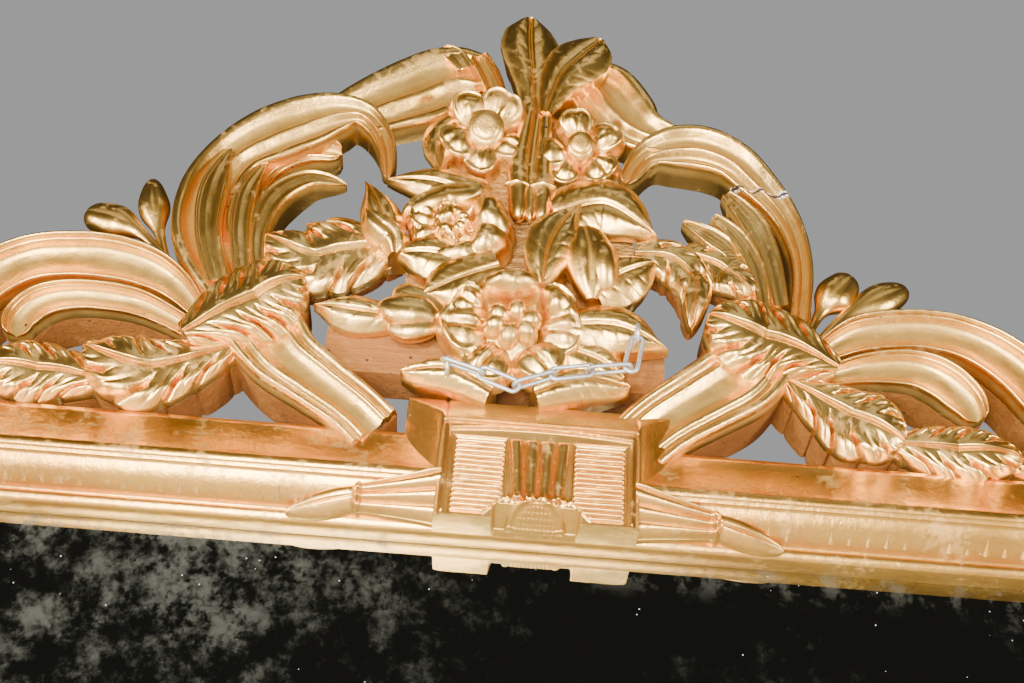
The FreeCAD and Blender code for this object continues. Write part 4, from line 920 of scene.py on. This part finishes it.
def blockHeight(x, z):
    b = block
    a = np.abs(x)
    # front face, rounded shoulder and the gently crowned top slope
    topRun = np.clip((z - b["shoulder"]) / (b["top"] - b["shoulder"]), 0, 1)
    height = b["front"] - (b["front"] - b["side"]) * topRun ** 1.25
    height -= 1.6 * step(z, b["shoulder"] - 5, b["shoulder"]) * (topRun < 0.02)
    # underside: pads at the sides, a sloping cove in the middle
    pad = b["foot"] + (b["front"] - b["foot"]) * np.clip(z / b["footRound"], 0, 1) ** 0.6
    cove = b["foot"] + (b["front"] - b["foot"]) * np.clip(z / b["coveHeight"], 0, 1) ** 0.85
    inside = step(a, b["coveHalf"] + 1.2, b["coveHalf"] - 1.2)
    height = np.where(z < b["coveHeight"], np.minimum(height, pad * (1 - inside) + cove * inside), height)
    # splayed ends above the ridge
    flare = np.clip((a - b["frontHalf"]) / (b["backHalf"] - b["frontHalf"]), 0, 1)
    end = b["front"] - (b["front"] - b["side"]) * (0.55 * flare + 0.45 * np.sqrt(flare))
    height = np.where(a > b["frontHalf"], np.minimum(height, end), height)
    height = height - 1.5 * bell(a - b["frontHalf"], 1.4) * (z > 2)
    # raised border round a sunk field whose top is a flat arch
    crown = b["fieldTop"] - 3.0 * (a / 60) ** 2
    field = step(a, 62.0, 60.6) * step(z, crown + 0.8, crown - 1.0) * step(z, 2.0, 3.5)
    beads = (bell(a - b["fieldHalf"], 0.8) * step(z, 2, 5) * step(z, 70, 67)
             + bell(z - crown - 0.3, 0.8) * (a < 61))
    height = height - 1.5 * field + beads
    # ribbed panels, lower inner corner cut off, in a thin frame
    inner = b["panelInner"] + np.maximum(0, b["corner"] - (z - b["panelBottom"]))
    spread = np.minimum(np.minimum(a - inner, b["panelOuter"] - a),
                        np.minimum(z - b["panelBottom"], b["panelTop"] - z))
    share = (z - b["panelBottom"]) / (b["panelTop"] - b["panelBottom"])
    wander = 0.02 * np.sin(x * 0.21 + z * 0.37)
    rib = np.abs(np.sin((share * b["ribs"] + wander) * math.pi)) ** 0.75
    height = height + step(spread, -0.4, 0.5) * (rib * 2.0 - 0.9) + 1.0 * bell(spread + 1.6, 0.7)
    # pleats that flare at the top and gather above the medallion
    up = (z - b["pleatBottom"]) / (b["pleatTop"] - b["pleatBottom"])
    half = b["pleatHalf"] * (0.82 + 0.20 * np.clip(up, 0, 1))
    across = x / half * b["pleats"] / 2 + 0.03 * np.sin(z * 0.13 + x)
    fold = 1 - np.abs(np.sin(across * math.pi)) ** 0.6
    cloth = step(a, half + 0.6, half - 1.2) * step(up, -0.02, 0.05) * step(up, 1.03, 0.95)
    height = height + cloth * ((1 - fold) * 4.2 * (1 + 0.35 * np.clip(up, 0, 1)) - 1.6)
    gather = bell(z - b["pleatBottom"] - 2.5, 2.4) * step(a, 24, 19)
    height = height + gather * (1.6 + 0.9 * np.sin(x * 1.5))
    # medallion: a half oval on the cove with a rolled rim and a dotted middle
    oval = np.sqrt((x / b["medallionHalf"]) ** 2 + (np.maximum(z - 1.2, 0) / b["medallionHeight"]) ** 2)
    disc = step(oval, 1.03, 0.95) * step(z, 0.9, 1.6)
    height = height + disc * (3.2 + 1.5 * bell(oval - 0.86, 0.07))
    dots = step(oval, 0.72, 0.62) * np.abs(np.sin(x * 1.15 + 0.5)) * np.abs(np.sin(z * 1.3))
    return height + 0.9 * dots


def makeBlock():
    b = block
    half = b["frontHalf"] + b["sideGap"]
    carving = Carving()

    def addRelief(x, z, forward, share):
        grid = np.stack([x + b["x"] - crestX, z - b["bottom"]], -1)
        carving.slab(grid, forward, share, b["back"], 60.0, 1.0, 0)

    levels = np.concatenate([np.linspace(0.6, 16, 65), np.linspace(16.3, 74, 180),
                             np.linspace(75, b["top"], 24)])
    z, x = np.meshgrid(levels[::-1], np.linspace(-half, half, 300), indexing="ij")
    forward = blockHeight(x, z)
    forward += ripple(x, z, 0.22, 71)
    # relief falls with the height, so the sunk parts get darker gold: toning and painted shade
    addRelief(x, z, forward, np.clip(0.45 + (forward - 69.0) * 0.25, 0, 1))
    for side in (-1, 1):                                   # splayed ends, above the ridge only
        places = np.linspace(half - 3, b["backHalf"], 40) * side
        z, x = np.meshgrid(np.linspace(b["ridge"], b["top"], 60)[::-1], places[::side], indexing="ij")
        addRelief(x, z, blockHeight(x, z) - 0.05, np.full(x.shape, 0.7))
    carving.make("centre_block", goldRecess, ["centre_block", "block_medallion"])
    print("block made")


reedBundle = {"length": 100.0, "collar": 0.54, "start": (19.5, 17.5), "collarHeight": 14.5, "collarHalf": 8.0,
              "budHalf": 9.5, "tipHeight": 4.0, "foot": 47.5, "lean": 0.6, "back": 40.0}


def makeReeds():
    # reeds fanned from the block's side, tied by a collar and ending in a pointed bud, along the leaning hollow
    r = reedBundle
    t = np.linspace(0, 1, 130)
    along, u = np.meshgrid(t, np.linspace(-1, 1, 61), indexing="ij")
    run = np.clip(t / r["collar"], 0, 1)
    bud = np.clip((t - r["collar"]) / (1 - r["collar"]), 0, 1)
    half = r["start"][1] + (r["collarHalf"] - r["start"][1]) * run ** 0.85
    budHalf = r["collarHalf"] * 0.9 + (r["budHalf"] - r["collarHalf"]) * np.sin(bud * math.pi)
    half = np.where(bud > 0, budHalf * np.sqrt(np.clip(1 - bud ** 2.1, 0.001, 1)), half)
    middle = (r["start"][0] + (r["collarHeight"] - r["start"][0]) * run
              + (r["tipHeight"] - r["collarHeight"]) * bud)
    collar = bell(t - r["collar"], 0.020)[:, None]
    half = (half + 1.6 * collar[:, 0])[:, None]
    z = middle[:, None] + u * half
    dome = np.sqrt(np.clip(1 - u ** 2, 0, 1))
    reeds = np.abs(np.cos(u * math.pi * 1.75 + 0.35)) ** 0.7
    tied = step(along, r["collar"] + 0.01, r["collar"] - 0.01)
    keel = 1 - 0.35 * bell(u - 0.1, 0.10) * bud[:, None] * (1 - bud[:, None]) * 3
    height = r["foot"] + r["lean"] * np.clip(z, 0, 34)
    height = height + tied * (2.0 * dome + 3.6 * reeds * dome ** 0.5) + (1 - tied) * half * 0.72 * dome * keel
    height = height + collar * 2.6 * dome
    share = np.clip(tied * reeds + (1 - tied) * 0.8, 0, 1) * dome
    for name, side in (("reed_ornament_left", -1), ("reed_ornament_right", 1)):
        x = (block["x"] - crestX) + side * (block["frontHalf"] - 1) + side * r["length"] * along
        grid = np.stack([x, np.maximum(z, 0.5) - block["bottom"]], -1)
        carving = Carving()
        carving.slab(grid[::side], height[::side], share[::side], r["back"], 60.0, 1.0, 0)
        carving.make(name, goldRecess)
    print("reeds made")


makeBlock()
makeReeds()


# frame moulding: a section swept round the opening, and the row of darts, in geometry nodes

moulding = {"width": 72.0, "frameWidth": 1180.0, "frameHeight": 1450.0, "glassFront": 27.0, "waviness": 0.35,
            "stations": 150}
darts = {"perGroup": 5, "groupPitch": 78.0, "pitch": 12.3, "outward": 12.5, "forward": 23.5, "leanAngle": 56.0,
         "clearOfBlock": 70.0, "height": 11.0, "width": 5.4, "seed": 4}


def arc(a, b, c, count):                                 # curved points from a through b to c, without a
    a, b, c = np.array(a), np.array(b), np.array(c)
    control = 2 * b - 0.5 * a - 0.5 * c
    return [tuple((1 - s) ** 2 * a + 2 * s * (1 - s) * control + s * s * c) for s in np.linspace(0, 1, count)[1:]]


def mouldingSection():
    # (outward from the sight edge, forward of the glass), as in the part's source
    return [(8, -4), (8, 0), (0.3, 0), (0, 0.6), (0, 17.0), (0.5, 17.8), (3.6, 19.8), (6.6, 20.1), (7.7, 19.4),
            (8.0, 18.2), (8.7, 18.0),
            *arc((8.7, 18), (16.0, 29.8), (27.0, 37.0), 12),
            (27.0, 37.6), (27.4, 38.2), (29.6, 38.3), (30.0, 39.2), (30.6, 39.8),
            *arc((30.6, 39.8), (34.6, 40.3), (38.0, 38.0), 6),
            *arc((38.0, 38.0), (55.0, 28.2), (72.0, 22.0), 10),
            (72, 21), (72, -4)]


class GrowTree(Tree):
    # a geometry tree with named number inputs, whose default values are given with their names
    def __init__(self, name, inputs):
        super().__init__(bpy.data.node_groups.new(name, "GeometryNodeTree"))
        sockets = self.tree.interface
        sockets.new_socket("Geometry", in_out="INPUT", socket_type="NodeSocketGeometry")
        self.ids = {}
        for label, value in inputs.items():
            kind = "NodeSocketInt" if isinstance(value, int) else "NodeSocketFloat"
            item = sockets.new_socket(label, in_out="INPUT", socket_type=kind)
            item.default_value = value
            self.ids[label] = item.identifier
        sockets.new_socket("Geometry", in_out="OUTPUT", socket_type="NodeSocketGeometry")
        self.start = self.tree.nodes.new("NodeGroupInput")
        self.end = self.tree.nodes.new("NodeGroupOutput")

    def input(self, label):
        return Wire(self.tree, self.start.outputs[label])

    def vector(self, x, y, z):
        return self.node("ShaderNodeCombineXYZ", x, y, z)

    def finish(self, geometry, material):
        real = self.node("GeometryNodeRealizeInstances", Geometry=geometry)
        named = self.node("GeometryNodeSetMaterial", Geometry=real, Material=material)
        connect(self.tree, self.end.inputs[0], named)
        return self

    def scatter(self, instance, spin, material, **sockets):
        # one copy on every seed point, turned by the point's own attribute
        euler = self.node("GeometryNodeInputNamedAttribute", settings={"data_type": "FLOAT_VECTOR"}, Name=spin)
        turn = self.node("FunctionNodeEulerToRotation", Euler=euler)
        placed = self.node("GeometryNodeInstanceOnPoints", Points=self.input("Geometry"), Instance=instance,
                           Rotation=turn, **sockets)
        return self.finish(placed, material)


def growMesh(name, seedMesh, tree, values):
    # runs the tree on the seed mesh and returns the result as a plain mesh
    holder = bpy.data.objects.new(name + "_seed", seedMesh)
    bpy.context.collection.objects.link(holder)
    modifier = holder.modifiers.new("grow", "NODES")
    modifier.node_group = tree.tree
    for label, value in values.items():
        modifier[tree.ids[label]] = value
    holder.update_tag()
    graph = bpy.context.evaluated_depsgraph_get()
    mesh = bpy.data.meshes.new_from_object(holder.evaluated_get(graph), depsgraph=graph)
    holder.modifiers.remove(modifier)
    bpy.data.objects.remove(holder)
    mesh.name = name
    return mesh


def seedPoints(name, points, attribute, vectors):
    mesh = bpy.data.meshes.new(name)
    mesh.from_pydata(points, [], [])
    mesh.attributes.new(attribute, "FLOAT_VECTOR", "POINT").data.foreach_set("vector", vectors)
    return mesh


def sweepTree():
    # sweeps the seed section along a straight run, mitred at both ends, then turns it to its side of the frame
    tree = GrowTree("moulding sweep", {"Half length": 0.5, "Offset": 0.6, "Turn": 0.0, "Middle": 0.7,
                                       "Stations": 100, "Waviness": 0.0})
    line = tree.node("GeometryNodeCurvePrimitiveLine", Start=(-1, 0, 0), End=(1, 0, 0))
    run = tree.node("GeometryNodeResampleCurve", Curve=line, Count=tree.input("Stations"))
    profile = tree.node("GeometryNodeMeshToCurve", Mesh=tree.input("Geometry"))
    swept = tree.node("GeometryNodeCurveToMesh", Curve=run, Profile_Curve=profile, Fill_Caps=True)
    x, y, z = tree.split(tree.node("GeometryNodeInputPosition"))
    outward, depth = y * -1.0, z * -1.0                    # the section's own axes, read back from the swept mesh
    along = x * (tree.input("Half length") + outward)
    up = tree.input("Offset") + outward
    wave = tree.node("ShaderNodeTexNoise", Vector=tree.vector(along, depth, up), Scale=9.0, Detail=2.0)
    deeper = depth + (wave - 0.5) * tree.input("Waviness")
    turned = tree.node("ShaderNodeVectorRotate", settings={"rotation_type": "Y_AXIS"}, Angle=tree.input("Turn"),
                       Vector=tree.vector(along, deeper, up))
    placed = tree.node("ShaderNodeVectorMath", turned, tree.vector(0.0, 0.0, tree.input("Middle")))
    bent = tree.node("GeometryNodeSetPosition", Geometry=swept, Position=placed)
    return tree.finish(bent, goldMoulding)


def frameSides(m):
    # half length, distance from the middle and turn of the top, right, bottom and left runs, at the sight edge
    halfW, halfH = m["frameWidth"] / 2 - m["width"], m["frameHeight"] / 2 - m["width"]
    return [(*((halfW, halfH) if k % 2 == 0 else (halfH, halfW)), -k * math.pi / 2) for k in range(4)]


def makeMoulding():
    m = moulding
    tree = sweepTree()
    points = [(outward * mm, -(m["glassFront"] + forward) * mm, 0) for outward, forward in mouldingSection()]
    count = len(points)
    names = ("moulding_top", "moulding_right", "moulding_bottom", "moulding_left")
    for name, (half, other, turn) in zip(names, frameSides(m)):
        seedMesh = bpy.data.meshes.new(name)
        seedMesh.from_pydata(points, [(i, (i + 1) % count) for i in range(count)], [])
        mesh = growMesh(name + "_carved", seedMesh, tree, {
            "Half length": half * mm, "Offset": other * mm, "Turn": turn, "Middle": m["frameHeight"] / 2 * mm,
            "Stations": m["stations"], "Waviness": m["waviness"] * mm})
        co = np.zeros(len(mesh.vertices) * 3)
        mesh.vertices.foreach_get("co", co)
        # relief grows with the distance forward of the glass, so the gold nearer the glass is darkened: toning and
        # painted shade
        setRelief(mesh, np.clip((-co[1::3] / mm - m["glassFront"]) / 34, 0.25, 1))
        mesh.polygons.foreach_set("use_smooth", [True] * len(mesh.polygons))
        mesh.update()
        addMesh(name + "_carved", mesh, [name])
    print("moulding made")


def dartTree():
    # darts stand on every point of the seed line, sized and leaned by named inputs
    tree = GrowTree("dart row", {"Dart height": 6.0 * mm, "Dart width": 4.2 * mm, "Seed": 4})
    cone = tree.node("GeometryNodeMeshCone", Vertices=8, Radius_Top=0.0003, Radius_Bottom=0.5, Depth=1.0)
    width = tree.input("Dart width")
    vary = tree.node("FunctionNodeRandomValue", settings={"data_type": "FLOAT"}, output=1,
                     Seed=tree.input("Seed"))
    least, most = vary.socket.node.inputs[2:4]
    least.default_value, most.default_value = 0.72, 1.12
    size = tree.node("ShaderNodeVectorMath", tree.vector(width, width, tree.input("Dart height")),
                     settings={"operation": "SCALE"}, Scale=vary)
    return tree.scatter(cone, "lean", gold, Scale=size)


def makeDarts():
    # small pointed darts in groups along the bead of the sight edge
    d = darts
    points, leans = [], []
    for k, (half, other, turn) in enumerate(frameSides(moulding)):
        spin = Matrix.Rotation(turn, 3, "Y") @ Matrix.Rotation(math.radians(d["leanAngle"]), 3, "X")
        groups = int(half * 2 // d["groupPitch"])
        up = other + d["outward"]
        for i in range(groups * d["perGroup"]):
            group, dart = divmod(i, d["perGroup"])
            along = (group - (groups - 1) / 2) * d["groupPitch"] + (dart - (d["perGroup"] - 1) / 2) * d["pitch"]
            if k == 0 and abs(along - block["x"]) < d["clearOfBlock"]:
                continue
            x = along * math.cos(turn) + up * math.sin(turn)
            z = moulding["frameHeight"] / 2 - along * math.sin(turn) + up * math.cos(turn)
            points.append((x * mm, -(moulding["glassFront"] + d["forward"]) * mm, z * mm))
            leans += list(spin.to_euler("XYZ"))
    mesh = growMesh("dart_row", seedPoints("dart places", points, "lean", leans), dartTree(),
                    {"Dart height": d["height"] * mm, "Dart width": d["width"] * mm, "Seed": d["seed"]})
    setRelief(mesh, [0.8] * len(mesh.vertices))
    addMesh("dart_row", mesh, [])
    print("darts made")


makeMoulding()
makeDarts()


# chain: one smooth link, placed by points that carry its turn

chain = {"wire": 1.5, "length": 33.0, "width": 12.0, "gap": 0.8, "forward": 86.0, "left": (-37.0, 37.0),
         "slopes": (-17.0, -21.0, 24.0, 12.0, 11.0, 80.0), "turns": (105.0, 10.0, 90.0, 0.0, 90.0, 0.0),
         "bend": 28, "round": 10, "eyeRadius": 6.0, "eyeShank": 16.0, "shankRadius": 1.2}


def linkTree():
    tree = GrowTree("chain link", {"Wire radius": 1.5 * mm, "Link length": 33 * mm, "Link width": 12 * mm})
    wire, width = tree.input("Wire radius"), tree.input("Link width")
    radius = width * 0.5 - wire
    ring = tree.node("GeometryNodeCurvePrimitiveCircle", Resolution=chain["bend"], Radius=radius)
    x, y, z = tree.split(tree.node("GeometryNodeInputPosition"))
    push = x.above(0.00001) * (tree.input("Link length") - width)      # one half moves away along the link
    oval = tree.node("GeometryNodeSetPosition", Geometry=ring, Offset=tree.vector(push + radius, 0.0, 0.0))
    section = tree.node("GeometryNodeCurvePrimitiveCircle", Resolution=chain["round"], Radius=wire)
    tube = tree.node("GeometryNodeCurveToMesh", Curve=oval, Profile_Curve=section)
    return tree.scatter(tube, "spin", zinc)


def addEye(points, faces, centre):
    # a wire ring in the plane of y and z, on a short shank that runs back
    c = chain
    base = len(points)
    for a in around(c["bend"]):
        outward = np.array([0, -math.cos(a), math.sin(a)])
        for b in around(c["round"]):
            points.append(centre + outward * (c["eyeRadius"] + c["wire"] * math.cos(b))
                          + np.array([c["wire"] * math.sin(b), 0, 0]))
    n, count = c["round"], c["bend"] * c["round"]
    for quad in ringFaces(c["bend"] + 1, n):               # the last ring joins the first
        faces.append(tuple(base + quad[i] % count for i in (0, 3, 2, 1)))
    base = len(points)
    neck = centre[1] + c["eyeRadius"]
    for y in (neck, neck + c["eyeShank"]):
        for a in around(n):
            x, z = c["shankRadius"] * math.cos(a), c["shankRadius"] * math.sin(a)
            points.append(np.array([centre[0] + x, y, centre[2] + z]))
    faces += [tuple(base + quad[i] for i in (0, 3, 2, 1)) for quad in ringFaces(2, n)]
    faces += [tuple(base + i for i in range(n)), tuple(base + 2 * n - 1 - i for i in range(n))]


def makeChain():
    c = chain
    hook = 2 * c["wire"] + c["gap"]                        # how far a link reaches into the one before
    far = np.array([crestX + c["left"][0], -c["forward"], frameTop + c["left"][1]])
    left = far.copy()
    before = None
    places, spins = [], []
    for slope, turn in zip(c["slopes"], c["turns"]):
        rise, spin = math.radians(slope), math.radians(turn)
        direction = np.array([math.cos(rise), 0, math.sin(rise)])
        flat = np.array([-math.sin(rise), 0, math.cos(rise)])
        start = far - (direction if before is None else before) * hook
        across = flat * math.cos(spin) + np.array([0, -1, 0]) * math.sin(spin)
        normal = np.cross(direction, across)
        basis = Matrix([[direction[i], across[i], normal[i]] for i in range(3)])
        places.append(tuple(start * mm))
        spins += list(basis.to_euler("XYZ"))
        far = start + direction * (c["length"] - 2 * c["wire"])
        before = direction if abs(turn) < 45 else None
    right = far - direction * hook
    sizes = {"Wire radius": c["wire"] * mm, "Link length": c["length"] * mm, "Link width": c["width"] * mm}
    mesh = growMesh("chain_links", seedPoints("link places", places, "spin", spins), linkTree(), sizes)
    mesh.polygons.foreach_set("use_smooth", [True] * len(mesh.polygons))
    addMesh("chain_links", mesh, ["chain_span"], "chain")
    points, faces = [], []
    addEye(points, faces, left + np.array([0, c["eyeRadius"], 0]))
    addEye(points, faces, right + np.array([0, 0, c["eyeRadius"]]))
    addPiece("chain_eyes_smooth", points, faces, [zinc], ["chain_eyes"])
    print("chain made")


makeChain()


# the nodes that stay as they are get their finishes

finishes = {"mirror_glass": foxedMirror, "crest_board": ochreBoard, "hanging_plates": iron, "back_screws": iron,
            "back_board_nails": iron, "mitre_keys": pineAcross, "corner_pegs": pineAcross, "top_rail": pineAcross,
            "bottom_rail": pineAcross}
for name, piece in frame["nodes"].items():
    material = finishes.get(name, pine)
    for slot in piece.material_slots:
        slot.material = material
    if not piece.material_slots:
        piece.data.materials.append(material)


# studio

studio = {"floorHalf": 6.0, "floor": (0.62, 0.61, 0.60), "seen": (0.365, 0.365, 0.37, 1.0),
          "reflected": (0.028, 0.026, 0.024, 1.0)}

makeCamera()
for name, settings in lights.items():
    makeLamp(name, *settings)

reach = studio["floorHalf"]
floor = bpy.data.meshes.new("floor")
corners = [(-reach, -reach, 0), (reach, -reach, 0), (reach, reach, 0), (-reach, reach, 0)]
floor.from_pydata(corners, [], [(0, 1, 2, 3)])
floor.materials.append(Finish("pale floor").set(Base_Color=studio["floor"], Roughness=0.85))
floorPiece = bpy.data.objects.new("floor", floor)
bpy.context.collection.objects.link(floorPiece)

# a pale wall of air behind the mirror, which the gold and the glass see as dark
world = bpy.data.worlds.new("studio")
bpy.context.scene.world = world
world.use_nodes = True
air = Tree(world.node_tree)
background = air.tree.nodes["Background"]
background.inputs["Color"].default_value = studio["seen"]
dim = air.node("ShaderNodeBackground", Color=studio["reflected"])
mixed = air.node("ShaderNodeMixShader", air.node("ShaderNodeLightPath", output="Is Camera Ray"), dim,
                 Wire(air.tree, background.outputs[0]))
connect(air.tree, air.tree.nodes["World Output"].inputs[0], mixed)
